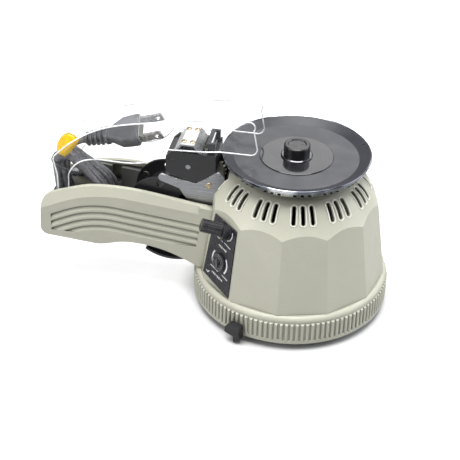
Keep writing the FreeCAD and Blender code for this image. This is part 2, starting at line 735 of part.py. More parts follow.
def clear_cover():
    pivot = tip(COVER_PIVOT_IN)
    near = -DISC_RADIUS
    top = cover_top_points(0)
    side_face = ((pivot - 3.2, COVER_PIVOT_Z), ((pivot, COVER_PIVOT_Z - 3.2), (pivot + 3.2, COVER_PIVOT_Z)),
                 (pivot + 3.6, 76),
                 [(pivot + 12, 86.5), (tip(54), 89), (ROLLER_X - 21, 93), (ROLLER_X - 14, 101.2)],
                 (near - 8, 102.4), (near + 1, 103.6), (near + 17.8, 103.6),
                 ((near + 21.6, 105), (near + 22.4, 109)), (near + 20.4, 120),
                 ((near + 19.8, 124.6), top[-1]), top[-2::-1], (tip(8.6), 86), (pivot - 3.6, 76))
    panels = []
    for sign in (-1, 1):
        low, high = sorted((sign * COVER_HALF, sign * (COVER_HALF - COVER_WALL)))
        panel = slab(low, high, *side_face)
        panels.append(panel.cut(rod_y(PIN_RADIUS + RUN, pivot, COVER_PIVOT_Z, low - 1, high + 1)))
    roof = slab(-COVER_HALF, COVER_HALF, top[0], top[1:], (top[-1][0], top[-1][1] - COVER_WALL),
                cover_top_points(COVER_WALL)[-2::-1])
    roof = roof.common(block(tip(COVER_OPEN_IN), 0, -COVER_HALF, COVER_HALF, 0, 2 * top[-1][1]))
    return roof.fuse(panels).removeSplitter()


def cover_hinge_pins():
    pins = []
    for sign in (-1, 1):
        low, high = sorted((sign * (COVER_HALF - COVER_WALL - 0.8), sign * (ARM_OUTER - ARM_WALL)))
        pins.append(rod_y(PIN_RADIUS, tip(COVER_PIVOT_IN), COVER_PIVOT_Z, low, high))
    return Part.Compound(pins)


# ---------------------------------------------------------------- turntable
def rim_radius(z):
    """Radius of the joint between the plate and the rim at a height."""
    return DISC_RADIUS - RIM_THICK - RIM_INSET * (DISC_TOP - z) / RIM_DROP


def turntable_plate():
    low = DISC_FLAT_Z - 2
    return revolved((SPINDLE_RADIUS, low - 2), (11, low - 2), (11, low), (DISC_FLAT_RADIUS, low),
                    (rim_radius(low + 0.6), low + 0.6), (rim_radius(DISC_TOP - 0.2), DISC_TOP - 0.2),
                    (DISC_FLAT_RADIUS, DISC_FLAT_Z), (SPINDLE_RADIUS, DISC_FLAT_Z))


def turntable_rim():
    low, high = DISC_TOP - RIM_DROP, DISC_TOP - 0.4
    foot = rim_radius(low) + RIM_THICK
    belly = ((DISC_RADIUS + foot) / 2 + RIM_BULGE, (low + high) / 2)
    lip = ((DISC_RADIUS - 0.5, DISC_TOP + 0.15), (DISC_RADIUS, high))
    return revolved((rim_radius(DISC_TOP - 0.2), DISC_TOP - 0.2), lip, (belly, (foot, low)),
                    (rim_radius(low), low))


def turntable_inner_plate():
    top = DISC_FLAT_Z + INNER_PLATE_THICK
    return revolved((SPINDLE_RADIUS, DISC_FLAT_Z), (INNER_PLATE_RADIUS, DISC_FLAT_Z),
                    (INNER_PLATE_RADIUS, top - 0.15), (INNER_PLATE_RADIUS - 0.3, top), (SPINDLE_RADIUS, top))


def turntable_collar():
    low = DISC_FLAT_Z + INNER_PLATE_THICK
    return revolved((KNOB_RADIUS, low), (COLLAR_RADIUS, low), (COLLAR_RADIUS, low + 0.6),
                    (COLLAR_RADIUS - 0.6, low + 1), (KNOB_RADIUS, low + 1))


def turntable_knob():
    low = DISC_FLAT_Z + INNER_PLATE_THICK
    recess = KNOB_RADIUS - 2.2
    rounding = ((KNOB_RADIUS - 0.3, KNOB_TOP - 0.3), (KNOB_RADIUS - 1, KNOB_TOP))
    return revolved((0, SPINDLE_TOP), (SPINDLE_RADIUS, SPINDLE_TOP), (SPINDLE_RADIUS, low), (KNOB_RADIUS, low),
                    (KNOB_RADIUS, KNOB_TOP - 1), rounding, (recess, KNOB_TOP), (recess - 0.4, KNOB_TOP - 0.6),
                    (0, KNOB_TOP - 0.6))


def turntable_spindle():
    return rod_z(SPINDLE_RADIUS, 0, 0, TABLE_GEAR_Z - 4, SPINDLE_TOP)


def bearing_tube():
    low = TABLE_GEAR_Z + TABLE_GEAR_THICK + 0.7
    return revolved((BUSH_RADIUS, low), (BUSH_RADIUS + 2, low), (BUSH_RADIUS + 2, DOME_TOP), (14, DOME_TOP),
                    (14, DOME_TOP + 1.6), (BUSH_RADIUS, DOME_TOP + 1.6))


def spindle_bushes():
    low = TABLE_GEAR_Z + TABLE_GEAR_THICK + 0.7
    bushes = []
    for z in (low, DOME_TOP - 2.4):
        bush = rod_z(BUSH_RADIUS, 0, 0, z, z + 4)
        bushes.append(bush.cut(rod_z(SPINDLE_RADIUS + RUN, 0, 0, z, z + 4)))
    return Part.Compound(bushes)


def turntable_gear():
    gear = gear_z(TABLE_GEAR_TEETH, TABLE_MODULE, TABLE_MOTOR_ANGLE, 0, 0, TABLE_GEAR_Z, TABLE_GEAR_THICK)
    return gear.cut(rod_z(SPINDLE_RADIUS, 0, 0, TABLE_GEAR_Z - 1, TABLE_GEAR_Z + 9))


def table_motor_place():
    return at_angle(TABLE_MODULE * (TABLE_GEAR_TEETH + TABLE_PINION_TEETH) / 2, TABLE_MOTOR_ANGLE)


def turntable_pinion():
    place = table_motor_place()
    gap_phase = TABLE_MOTOR_ANGLE + 180 + 180.0 / TABLE_PINION_TEETH
    gear = gear_z(TABLE_PINION_TEETH, TABLE_MODULE, gap_phase, place.x, place.y, TABLE_GEAR_Z - 0.5,
                  TABLE_GEAR_THICK + 1)
    return gear.cut(rod_z(1.5 + RUN, place.x, place.y, 0, DOME_TOP))


def turntable_motor():
    place = table_motor_place()
    can = rod_z(TABLE_MOTOR_RADIUS, place.x, place.y, RING_TOP + 18, TABLE_GEAR_Z - 2)
    return can.fuse(rod_z(1.5, place.x, place.y, TABLE_GEAR_Z - 2, TABLE_GEAR_Z + TABLE_GEAR_THICK + 0.5))


# ---------------------------------------------------------------- feed and cutter
def side_plate():
    x = ROLLER_X
    return slab(-PLATE_OUT, -PLATE_OUT + PLATE_THICK,
                (x - 15.5, 79), ((x - 17.7, 81.2), (x - 15.8, 84)), (x + 4.6, 79.6), (x + 10.6, 83.3),
                (x + 17, 88.6), ((x + 20.3, 88.2), (x + 21.6, 82)), (x + 20.9, 80), (x + 19.5, FRAME_BOTTOM),
                (x + 6, FRAME_BOTTOM), (x + 1, 66), (x - 5, 75.4))


def cheek_outline():
    x = ROLLER_X
    return ((x + 6, FRAME_BOTTOM), (x + 4.5, 74), (x - 3, 81.5), (x - 13.5, 85), (x - 13.5, 96),
            (x - 10, BRACKET_Z), (x + 8.5, BRACKET_Z), (x + 16.6, BRACKET_Z - 0.2), (x + 16.8, 88),
            (x + 6 + FRAME_LENGTH, 80), (x + 6 + FRAME_LENGTH, FRAME_BOTTOM))


def feed_frame():
    """Two cheeks on a floor, with a stub shaft for the idler gear."""
    outer = PLATE_OUT - PLATE_THICK
    holes = [rod_y(FEED_SHAFT + RUN, ROLLER_X, ROLLER_Z, -outer, outer),
             rod_y(FEED_SHAFT + RUN, PINCH[0], PINCH[1], -outer, outer)]
    cheeks = [slab(low, high, *cheek_outline()) for low, high in ((-outer, -CHEEK_IN), (CHEEK_IN, outer))]
    floor = block(ROLLER_X + 6, ROLLER_X + 6 + FRAME_LENGTH, -outer, outer, FRAME_BOTTOM, FRAME_BOTTOM + 2.4)
    boss = rod_y(FEED_SHAFT, IDLER[0], IDLER[1], FEED_GEAR_Y[0] - 0.5, CHEEK_IN)
    return cheeks[0].fuse([cheeks[1], floor, boss]).cut(holes)


def feed_roller():
    roller = rod_y(ROLLER_RADIUS, ROLLER_X, ROLLER_Z, -ROLLER_HALF, ROLLER_HALF)
    return roller.cut(rod_y(FEED_SHAFT, ROLLER_X, ROLLER_Z, -ROLLER_HALF, ROLLER_HALF))


def feed_shaft():
    outer = PLATE_OUT - PLATE_THICK
    return rod_y(FEED_SHAFT, ROLLER_X, ROLLER_Z, -outer + 0.2, outer - 0.2)


def feed_gear():
    gear = gear_y(FEED_TEETH, FEED_MODULE, IDLER_ANGLE, ROLLER_X, ROLLER_Z, *FEED_GEAR_Y)
    return gear.cut(rod_y(FEED_SHAFT, ROLLER_X, ROLLER_Z, *FEED_GEAR_Y))


def idler_gear():
    """A gap faces the roller's gear, and the drive pinion is turned to mesh with it."""
    phase = IDLER_ANGLE + 180 + 180.0 / IDLER_TEETH
    gear = gear_y(IDLER_TEETH, FEED_MODULE, phase, IDLER[0], IDLER[1], *FEED_GEAR_Y)
    return gear.cut(rod_y(FEED_SHAFT + RUN, IDLER[0], IDLER[1], *FEED_GEAR_Y))


def feed_pinion():
    idler_phase = IDLER_ANGLE + 180 + 180.0 / IDLER_TEETH
    tooth_offset = (FEED_PINION_ANGLE - idler_phase) % (360.0 / IDLER_TEETH)
    share = tooth_offset / (360.0 / IDLER_TEETH)
    phase = FEED_PINION_ANGLE + 180 + (share + 0.5) * 360.0 / FEED_PINION_TEETH
    gear = gear_y(FEED_PINION_TEETH, FEED_MODULE, phase, FEED_DRIVE[0], FEED_DRIVE[1], *FEED_GEAR_Y)
    return gear.cut(rod_y(1 + RUN, FEED_DRIVE[0], FEED_DRIVE[1], *FEED_GEAR_Y))


def feed_motor():
    can = rod_y(FEED_MOTOR_RADIUS, FEED_DRIVE[0], FEED_DRIVE[1], -CHEEK_IN, FEED_GEAR_Y[0] - 0.6)
    return can.fuse(rod_y(1, FEED_DRIVE[0], FEED_DRIVE[1], FEED_GEAR_Y[0] - 0.6, FEED_GEAR_Y[1] + 0.2))


def pinch_roller():
    outer = PLATE_OUT - PLATE_THICK - 0.2
    roller = rod_y(PINCH_RADIUS, PINCH[0], PINCH[1], -ROLLER_HALF, ROLLER_HALF)
    return roller.fuse(rod_y(FEED_SHAFT, PINCH[0], PINCH[1], -outer, outer))


def top_bracket():
    """Folded steel strip over the rollers."""
    half = PLATE_OUT - PLATE_THICK - 0.5
    low, high = BRACKET_Z, BRACKET_Z + BRACKET_RISE
    edge = 1.3 * BRACKET_THICK
    foot_far, fold_far, fold_near, foot_near = [ROLLER_X + d for d in (-7.5, -4, 3, 6.5)]
    return slab(-half, half, (foot_far, low), (fold_far, high), (fold_near, high), (foot_near, low),
                (foot_near + edge, low), (fold_near + 0.5, high + BRACKET_THICK),
                (fold_far - 0.5, high + BRACKET_THICK), (foot_far - edge, low))


def guide_legs(half_x, half_y, low, high):
    """Two upright bars, one at each side of the blades."""
    y = CHEEK_IN - 1.2
    return [block(CUTTER_X - half_x, CUTTER_X + half_x, sign * y - half_y, sign * y + half_y, low, high)
            for sign in (-1, 1)]


def blade_guide():
    low, high = BLADE_TOP - 11.7, BLADE_TOP - 1.8
    guide = block(CUTTER_X - 2.6, CUTTER_X + 2.4, -CHEEK_IN, CHEEK_IN, low, high)
    seat = block(CUTTER_X - 2.7, CUTTER_X + 0.2, -BLADE_HALF, BLADE_HALF, high - 2, high + 1)
    return guide.cut(guide_legs(1.6, 1.1, low - 1, high + 1) + [seat])


def fixed_blade():
    return block(CUTTER_X - 0.6, CUTTER_X + 0.2, -BLADE_HALF, BLADE_HALF, BLADE_TOP - 3.8, BLADE_TOP)


def moving_blade():
    """Toothed blade that rests above the fixed one."""
    x = CUTTER_X - 1.4
    tip_z, root_z, back_z = BLADE_TOP + 0.6, BLADE_TOP + 1.2, BLADE_TOP + 5
    points = [(-BLADE_HALF, back_z)]
    for k in range(int(2 * BLADE_HALF)):
        points += [(-BLADE_HALF + k, root_z), (-BLADE_HALF + k + 0.5, tip_z)]
    points += [(BLADE_HALF, root_z), (BLADE_HALF, back_z)]
    face = Part.Face(outline(lambda y, z: V(x, y, z), points[0], *points[1:]))
    return face.extrude(V(0.7, 0, 0))


def cutter_carriage():
    low, high = BLADE_TOP + 2.6, BLADE_TOP + 5.8
    bar = block(CUTTER_X - 3.9, CUTTER_X - 1.4, -CHEEK_IN + 0.2, CHEEK_IN - 0.2, low, high)
    return bar.fuse(guide_legs(1.5, 1.0, high - CUTTER_DROP - 9, high))


def plate_screws():
    screws = []
    for x, z in PLATE_SCREWS:
        for sign in (-1, 1):
            low, high = sorted((sign * PLATE_OUT, sign * (PLATE_OUT + SCREW_HEAD)))
            screws.append(rod_y(PLATE_SCREW_RADIUS, x, z, low, high))
    bracket_top = BRACKET_Z + BRACKET_RISE + BRACKET_THICK
    for x in (ROLLER_X - 3, ROLLER_X + 2):
        for sign in (-1, 1):
            screws.append(rod_z(1.6, x, sign * 7.5, bracket_top, bracket_top + SCREW_HEAD))
    return Part.Compound(screws)


# ---------------------------------------------------------------- lead, hank and plug
def lead_points():
    """From the gland, over the tray's lip, into the hank."""
    start = GLAND_END_X
    return (V(start, 0, GLAND_Z), V(start - 7, 0, GLAND_Z), V(start - 15, 0.8, 38), V(tip(50.8), 1.8, 42.6),
            V(tip(42.3), 2.3, 45.4), V(tip(34.3), 2.4, 46.6))


def tail_points():
    """From the plug down into the hank."""
    return (plug_start(), V(tip(20.97), 0, 92.77), V(tip(16.71), 0, 89.13), V(tip(14.17), 0, 84.14),
            V(tip(13.78), 0, 78.56))


def plug_start():
    return V(tip(26.3), 0, 94.5)


def lead_tube(points, name):
    """Straight runs joined by the largest tangent arcs that their lengths allow."""
    edges = []
    here = points[0]
    length = 0.0
    for before, corner, after in zip(points, points[1:], points[2:]):
        back, ahead = before - corner, after - corner
        half_turn = (math.pi - back.getAngle(ahead)) / 2
        reach = 0.45 * min(back.Length, ahead.Length)
        radius = reach / math.tan(half_turn)
        back, ahead = back.normalize(), ahead.normalize()
        enter, leave = corner + back * reach, corner + ahead * reach
        middle = (back + ahead).normalize()
        via = corner + middle * (radius / math.cos(half_turn) - radius)
        edges.append(Part.makeLine(here, enter))
        edges.append(Part.Arc(enter, via, leave).toShape())
        length += edges[-1].Length + edges[-2].Length
        here = leave
        print("%s radius %.1f" % (name, radius))
    edges.append(Part.makeLine(here, points[-1]))
    length += edges[-1].Length
    path = Part.Wire(edges)
    section = Part.Wire(Part.makeCircle(CORD_RADIUS, points[0], points[1] - points[0]))
    tube = path.makePipeShell([section], True, True)
    share = tube.Volume / (math.pi * CORD_RADIUS ** 2 * length)
    print("%s length %.1f volume/expected %.4f" % (name, length, share))
    return tube


def cable_gland():
    start = V(-(BODY_LOW + 1.1), 0, GLAND_Z)
    cone = Part.makeCone(4.2, CORD_RADIUS + 0.7, GLAND_LENGTH, start, V(-1, 0, 0))
    flange = rod(4.9, V(-(BODY_LOW - 6), 0, GLAND_Z), start)
    gland = cone.fuse(flange).cut(faceted(0, RING_TOP - 5, DOME_TOP))
    return gland.common(block(GLAND_END_X, 0, -20, 20, 0, 90))


def cord_hank():
    """Outside shape of the tied turns: narrow at the tie, above, and fanned out below."""
    floor = TRAY_Z + TRAY_THICK
    tie_x = tip(5.9)
    return slab(-HANK_HALF, HANK_HALF, (tie_x, 79),
                [(tie_x + 2, 66), (tie_x + 5.4, 53), (tie_x + 11.5, 42.5), (tie_x + 21.5, floor + 0.5),
                 (tie_x + 31.5, 41.5), (tie_x + 37, 52), (tie_x + 35, 64), (tie_x + 27, 73.5),
                 (tie_x + 17.5, 81), (tie_x + 10.5, 86), (tie_x + 4, 86.3), (tie_x, 79)])


def on_plug(shape):
    """Places a shape drawn along X, wide in Y and thick in Z, as the plug lies."""
    copy = shape.copy()
    copy.rotate(V(0, 0, 0), X_AHEAD, 90 - PLUG_ROLL)
    copy.rotate(V(0, 0, 0), Y_BACK, -PLUG_TILT)
    copy.translate(plug_start())
    return copy


def plug_body():
    relief = Part.makeCone(3.0, 4.2, 15, V(0, 0, 0), X_AHEAD)
    face = Part.Face(outline(flat, (13, -4.5), (24, -PLUG_WIDTH / 2), (PLUG_LENGTH, -PLUG_WIDTH / 2),
                             (PLUG_LENGTH, PLUG_WIDTH / 2), (24, PLUG_WIDTH / 2), (13, 4.5)))
    face.translate(V(0, 0, -PLUG_THICK / 2))
    return on_plug(face.extrude(V(0, 0, PLUG_THICK)).fuse(relief))


def plug_blades():
    blades = []
    for sign in (-1, 1):
        y = sign * BLADE_SPACING / 2
        end = PLUG_LENGTH + BLADE_LENGTH
        blade = block(PLUG_LENGTH, end, y - BLADE_THICK / 2, y + BLADE_THICK / 2,
                      -BLADE_WIDTH / 2, BLADE_WIDTH / 2)
        hole = rod_y(1.5, end - 3, 0, y - 2, y + 2)
        blades.append(on_plug(blade.cut(hole)))
    return Part.Compound(blades)


def cord_tag():
    """Film label folded over the lead above the tie."""
    start = tip(COVER_PIVOT_IN)
    tag = slab(-TAG_THICK / 2, TAG_THICK / 2, (start - 5, 85.5), (start - 2.4, 94), (start + 2.4, 98.5),
               (start + 7, 97.6), (start + 9.4, 94.6), (start + 3, 86), (start - 1, 82.5))
    tag.translate(V(0, TAG_Y, 0))
    return tag


# ---------------------------------------------------------------- all nodes
def main():
    os.makedirs("parts", exist_ok=True)
    front_arm, front_rail, front_plate = arm_shell(), axle_rail(), side_plate()
    nodes = {
        "base_ring": base_ring(), "base_plate": base_plate(), "rubber_feet": rubber_feet(),
        "suction_cup": suction_cup(), "suction_stem": suction_stem(), "lever_shaft": lever_shaft(),
        "suction_lever": suction_lever(),
        "body_shell": body_shell(), "throat_wall": throat_wall(), "panel_plate": panel_plate(),
        "width_knob": width_knob(), "length_dial": length_dial(), "control_pots": control_pots(),
        "control_board": control_board(),
        "arm_front": front_arm, "arm_rear": mirrored(front_arm), "axle_rail_front": front_rail,
        "axle_rail_rear": mirrored(front_rail), "cord_tray": tray(), "hub_well": hub_well(),
        "rail_screws": rail_screws(),
        "hub_axle": hub_axle(), "hub_core": hub_core(), "hub_flanges": hub_flanges(),
        "clear_cover": clear_cover(), "cover_hinge_pins": cover_hinge_pins(),
        "turntable_plate": turntable_plate(), "turntable_rim": turntable_rim(),
        "turntable_inner_plate": turntable_inner_plate(), "turntable_collar": turntable_collar(),
        "turntable_knob": turntable_knob(), "turntable_spindle": turntable_spindle(),
        "bearing_tube": bearing_tube(), "spindle_bushes": spindle_bushes(), "turntable_gear": turntable_gear(),
        "turntable_pinion": turntable_pinion(), "turntable_motor": turntable_motor(),
        "side_plate_front": front_plate, "side_plate_rear": mirrored(front_plate), "feed_frame": feed_frame(),
        "feed_roller": feed_roller(), "feed_shaft": feed_shaft(), "feed_gear": feed_gear(),
        "idler_gear": idler_gear(), "feed_pinion": feed_pinion(), "feed_motor": feed_motor(),
        "pinch_roller": pinch_roller(), "top_bracket": top_bracket(), "blade_guide": blade_guide(),
        "fixed_blade": fixed_blade(), "moving_blade": moving_blade(), "cutter_carriage": cutter_carriage(),
        "plate_screws": plate_screws(),
        "cable_gland": cable_gland(), "power_lead": lead_tube(lead_points(), "power_lead"),
        "cord_hank": cord_hank(), "plug_tail": lead_tube(tail_points(), "plug_tail"),
        "plug_body": plug_body(), "plug_blades": plug_blades(),
        "cord_tag": cord_tag(),
    }
    for name, shape in nodes.items():
        if not shape.isValid() or not shape.Solids:
            print("not a valid solid:", name, shape.ShapeType)
        save(name, shape)
    print(len(nodes), "nodes")


main()
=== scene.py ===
"""Looks of the carousel tape dispenser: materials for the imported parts, and as pieces of their
own the lead, plug and label, the cover's edges, vent rims, panel print and screw heads.

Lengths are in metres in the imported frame. Values ending in _MM are millimetres.
"""
import json
import math

import bmesh
import bpy
from mathutils import Matrix, Vector


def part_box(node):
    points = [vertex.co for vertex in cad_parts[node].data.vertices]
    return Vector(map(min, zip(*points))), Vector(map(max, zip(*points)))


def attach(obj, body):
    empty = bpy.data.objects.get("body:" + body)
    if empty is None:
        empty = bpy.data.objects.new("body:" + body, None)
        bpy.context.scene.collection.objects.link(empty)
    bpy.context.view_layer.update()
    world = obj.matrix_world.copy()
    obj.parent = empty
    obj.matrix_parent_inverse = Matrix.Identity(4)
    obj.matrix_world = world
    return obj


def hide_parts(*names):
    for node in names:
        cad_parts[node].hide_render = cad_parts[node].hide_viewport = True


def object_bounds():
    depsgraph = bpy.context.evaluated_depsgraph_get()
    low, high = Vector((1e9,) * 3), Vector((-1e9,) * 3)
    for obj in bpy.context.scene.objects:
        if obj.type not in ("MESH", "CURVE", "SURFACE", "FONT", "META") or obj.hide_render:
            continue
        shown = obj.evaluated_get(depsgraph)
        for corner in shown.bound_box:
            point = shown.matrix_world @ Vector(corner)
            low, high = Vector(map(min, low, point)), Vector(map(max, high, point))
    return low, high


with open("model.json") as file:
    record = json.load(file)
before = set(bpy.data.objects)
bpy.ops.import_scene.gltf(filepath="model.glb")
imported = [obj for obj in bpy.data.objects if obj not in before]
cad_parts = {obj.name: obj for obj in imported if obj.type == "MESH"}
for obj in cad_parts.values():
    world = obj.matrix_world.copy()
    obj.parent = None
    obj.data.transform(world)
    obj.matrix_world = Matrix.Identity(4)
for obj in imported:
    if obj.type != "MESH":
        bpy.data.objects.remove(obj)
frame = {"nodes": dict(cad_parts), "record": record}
CAD_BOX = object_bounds()
NODES = frame["nodes"]
MM = 0.001


# ---------------------------------------------------------------- places taken from the frame
def middle(node):
    """Middle of a CAD node's box."""
    low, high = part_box(node)
    return (low + high) / 2


AXIS = middle("turntable_rim")             # the turntable's upright axis
FLOOR_Z = CAD_BOX[0].z


def beside_axis(x, y, z):
    """A point given in millimetres from the turntable's axis, and above the floor."""
    return Vector((AXIS.x + x * MM, AXIS.y + y * MM, FLOOR_Z + z * MM))


# ---------------------------------------------------------------- node materials
class Look:
    """A procedural material built up from a Principled shader, in the part's own coordinates."""

    def __init__(self, name, colour, roughness, metallic=0.0, **sockets):
        self.mat = bpy.data.materials.new(name)
        self.mat.use_nodes = True
        self.tree = self.mat.node_tree
        self.shader = self.tree.nodes["Principled BSDF"]
        self.colour = colour
        self.shader.inputs["Base Color"].default_value = (*colour, 1)
        self.shader.inputs["Roughness"].default_value = roughness
        self.shader.inputs["Metallic"].default_value = metallic
        for socket, value in sockets.items():
            self.shader.inputs[socket.replace("_", " ")].default_value = value
        self.place = self.tree.nodes.new("ShaderNodeTexCoord").outputs["Object"]
        self.tint = None
        self.normal = None

    def add(self, kind, **settings):
        """A new node with its settings."""
        node = self.tree.nodes.new(kind)
        for key, value in settings.items():
            setattr(node, key, value)
        return node

    def put(self, value, socket):
        """Links an output to a socket, or sets the socket to a number."""
        if isinstance(value, bpy.types.NodeSocket):
            self.tree.links.new(value, socket)
        else:
            socket.default_value = value

    def stretched(self, scale):
        """The part's coordinates, scaled along each axis."""
        mapping = self.add("ShaderNodeMapping")
        self.put(self.place, mapping.inputs["Vector"])
        mapping.inputs["Scale"].default_value = scale
        return mapping.outputs["Vector"]

    def noise(self, size, detail=2.0, stretch=None):
        """Noise whose blotches are about size metres across."""
        node = self.add("ShaderNodeTexNoise")
        self.put(self.stretched(stretch) if stretch else self.place, node.inputs["Vector"])
        node.inputs["Scale"].default_value = 1 / size
        node.inputs["Detail"].default_value = detail
        return node.outputs["Fac"]

    def scratches(self, size, along):
        """Fine hair lines along one axis."""
        stretch = [1.0, 1.0, 1.0]
        stretch["xyz".index(along)] = 0.03
        return self.noise(size, 4.0, stretch)

    def rings(self, size):
        """Turned circles about the turntable's axis."""
        shift = self.add("ShaderNodeVectorMath", operation="SUBTRACT")
        self.put(self.place, shift.inputs[0])
        shift.inputs[1].default_value = (AXIS.x, AXIS.y, 0)
        flatten = self.add("ShaderNodeVectorMath", operation="MULTIPLY")
        self.put(shift.outputs[0], flatten.inputs[0])
        flatten.inputs[1].default_value = (1, 1, 0)
        length = self.add("ShaderNodeVectorMath", operation="LENGTH")
        self.put(flatten.outputs[0], length.inputs[0])
        node = self.add("ShaderNodeTexNoise", noise_dimensions="1D")
        self.put(length.outputs["Value"], node.inputs["W"])
        node.inputs["Scale"].default_value = 1 / size
        node.inputs["Detail"].default_value = 3.0
        return node.outputs["Fac"]

    def ranged(self, value, low, high, to_low, to_high):
        """A value carried from one range to another, and kept within it."""
        node = self.add("ShaderNodeMapRange")
        self.put(value, node.inputs["Value"])
        for socket, number in (("From Min", low), ("From Max", high), ("To Min", to_low),
                               ("To Max", to_high)):
            node.inputs[socket].default_value = number
        return node.outputs["Result"]

    def blend_colour(self, share, colour):
        """Mixes another colour in, by a share from 0 to 1 that varies over the surface."""
        node = self.add("ShaderNodeMix", data_type="RGBA")
        self.put(share, node.inputs["Factor"])
        self.put(self.tint if self.tint else (*self.colour, 1), node.inputs["A"])
        node.inputs["B"].default_value = (*colour, 1)
        self.tint = node.outputs["Result"]
        self.put(self.tint, self.shader.inputs["Base Color"])
        return self

    def mottled(self, size, colour, share=1.0, low=0.35, high=0.7):
        """Blotches of another colour, where the noise is above low and fully above high."""
        return self.blend_colour(self.ranged(self.noise(size), low, high, 0.0, share), colour)

    def rough(self, value, low, high):
        """Roughness that follows a value between 0.3 and 0.7."""
        self.put(self.ranged(value, 0.3, 0.7, low, high), self.shader.inputs["Roughness"])
        return self

    def rounded(self, radius_mm, wear_and_highlight=0.0, worn_lit_colour=(0.9, 0.9, 0.88)):
        """Softens sharp edges, and lightens them: partly worn by rubbing, partly a painted
        highlight where edges catch the light.
        """
        bevel = self.add("ShaderNodeBevel", samples=6)
        bevel.inputs["Radius"].default_value = radius_mm * MM
        self.normal = bevel.outputs["Normal"]
        self.put(self.normal, self.shader.inputs["Normal"])
        if wear_and_highlight:
            geometry = self.add("ShaderNodeNewGeometry")
            dot = self.add("ShaderNodeVectorMath", operation="DOT_PRODUCT")
            self.put(self.normal, dot.inputs[0])
            self.put(geometry.outputs["Normal"], dot.inputs[1])
            rubbed_and_lit = self.ranged(dot.outputs["Value"], 0.985, 0.8, 0.0, wear_and_highlight)
            self.blend_colour(rubbed_and_lit, worn_lit_colour)
        return self

    def shade_in_hollows(self, reach, colour, low, high):
        """Painted shade: darker where other faces crowd round within reach."""
        hollow = self.add("ShaderNodeAmbientOcclusion", samples=6)
        hollow.inputs["Distance"].default_value = reach
        painted_shade_share = self.ranged(hollow.outputs["AO"], low, high, 1.0, 0.0)
        return self.blend_colour(painted_shade_share, colour)

    def bump(self, value, height_mm, strength=1.0):
        """Relief of a height in millimetres, on top of any rounding."""
        node = self.add("ShaderNodeBump")
        node.inputs["Strength"].default_value = strength
        node.inputs["Distance"].default_value = height_mm * MM
        self.put(value, node.inputs["Height"])
        if self.normal:
            self.put(self.normal, node.inputs["Normal"])
        self.normal = node.outputs["Normal"]
        self.put(self.normal, self.shader.inputs["Normal"])
        return self


def moulded(name, colour, roughness, grain_mm=0.35, grain_depth_mm=0.012, wear_and_highlight=0.25,
            edge_mm=0.35):
    """Injection-moulded plastic: spark-eroded grain, slow colour drift, paler edges that are partly
    worn and partly a painted highlight.
    """
    look = Look(name, colour, roughness, Specular_IOR_Level=0.5)
    darker = tuple(c * 0.86 for c in colour)
    paler = tuple(min(1.0, c * 1.25 + 0.02) for c in colour)
    look.mottled(0.045, darker, 0.45).mottled(0.007, darker, 0.18)
    look.rounded(edge_mm, wear_and_highlight, paler)
    look.rough(look.noise(0.012, 4.0), roughness - 0.06, roughness + 0.08)
    return look.bump(look.noise(grain_mm * MM, 3.0), grain_depth_mm)


def brushed(name, colour, roughness, along):
    """Sheet metal with hair lines along one axis."""
    look = Look(name, colour, roughness, 1.0)
    darker = tuple(c * 0.72 for c in colour)
    lines = look.scratches(0.0006, along)
    look.blend_colour(look.ranged(lines, 0.4, 0.75, 0.0, 0.55), darker)
    look.mottled(0.012, darker, 0.25)
    # pale edges: partly worn, partly a painted highlight
    look.rounded(0.12, 0.4, (0.95, 0.95, 0.96))
    look.rough(lines, roughness - 0.08, roughness + 0.14)
    return look.bump(lines, 0.01, 0.6)


def plate_steel():
    """Brushed side plates with a painted highlight on their upward faces, where the sheared upper
    edges catch the light.
    """
    look = brushed("brushed_steel", (0.33, 0.335, 0.35), 0.3, "x")
    normal = look.add("ShaderNodeSeparateXYZ")
    look.put(look.add("ShaderNodeNewGeometry").outputs["Normal"], normal.inputs[0])
    lit_facing_up = look.ranged(normal.outputs["Z"], 0.35, 0.6, 0.0, 0.9)
    return look.blend_colour(lit_facing_up, (0.92, 0.92, 0.91))


def grey_plastic():
    look = moulded("grey_plastic", (0.475, 0.470, 0.388), 0.42, 0.5, 0.014, 0.35, 0.45)
    look.mottled(0.0016, (0.40, 0.39, 0.31), 0.25, 0.58, 0.75)
    # painted shade: near black deep in the vents and slots, and a softer grey in narrow creases and
    # between ribs
    look.shade_in_hollows(0.006, (0.006, 0.006, 0.006), 0.52, 0.64)
    return look.shade_in_hollows(0.0025, (0.26, 0.26, 0.215), 0.5, 0.85)


def black_plastic():
    return moulded("black_plastic", (0.017, 0.017, 0.019), 0.38, 0.3, 0.010, 0.2, 0.25)


def fluted_black():
    look = Look("fluted_black", (0.016, 0.015, 0.018), 0.3, Coat_Weight=0.15, Coat_Roughness=0.2)
    look.mottled(0.0035, (0.034, 0.033, 0.038), 0.55, 0.5, 0.72)
    look.rounded(0.2, 0.15, (0.09, 0.09, 0.1))
    look.rough(look.noise(0.002, 5.0), 0.2, 0.5)
    return look.bump(look.noise(0.0012, 4.0), 0.05)


def trim_plastic():
    return moulded("trim_plastic", (0.19, 0.19, 0.18), 0.35, 0.4, 0.008, 0.6, 0.4)


def disc_black():
    """Satin black plate, turned, with faint rings and a little dust."""
    look = Look("disc_black", (0.022, 0.023, 0.029), 0.36, Specular_IOR_Level=0.5)
    look.mottled(0.02, (0.036, 0.036, 0.04), 0.5)
    look.mottled(0.0011, (0.09, 0.09, 0.095), 0.3, 0.68, 0.8)
    look.rounded(0.3, 0.2, (0.12, 0.12, 0.13))
    look.rough(look.noise(0.009, 3.0), 0.27, 0.38)
    return look.bump(look.rings(0.0007), 0.004, 0.5)


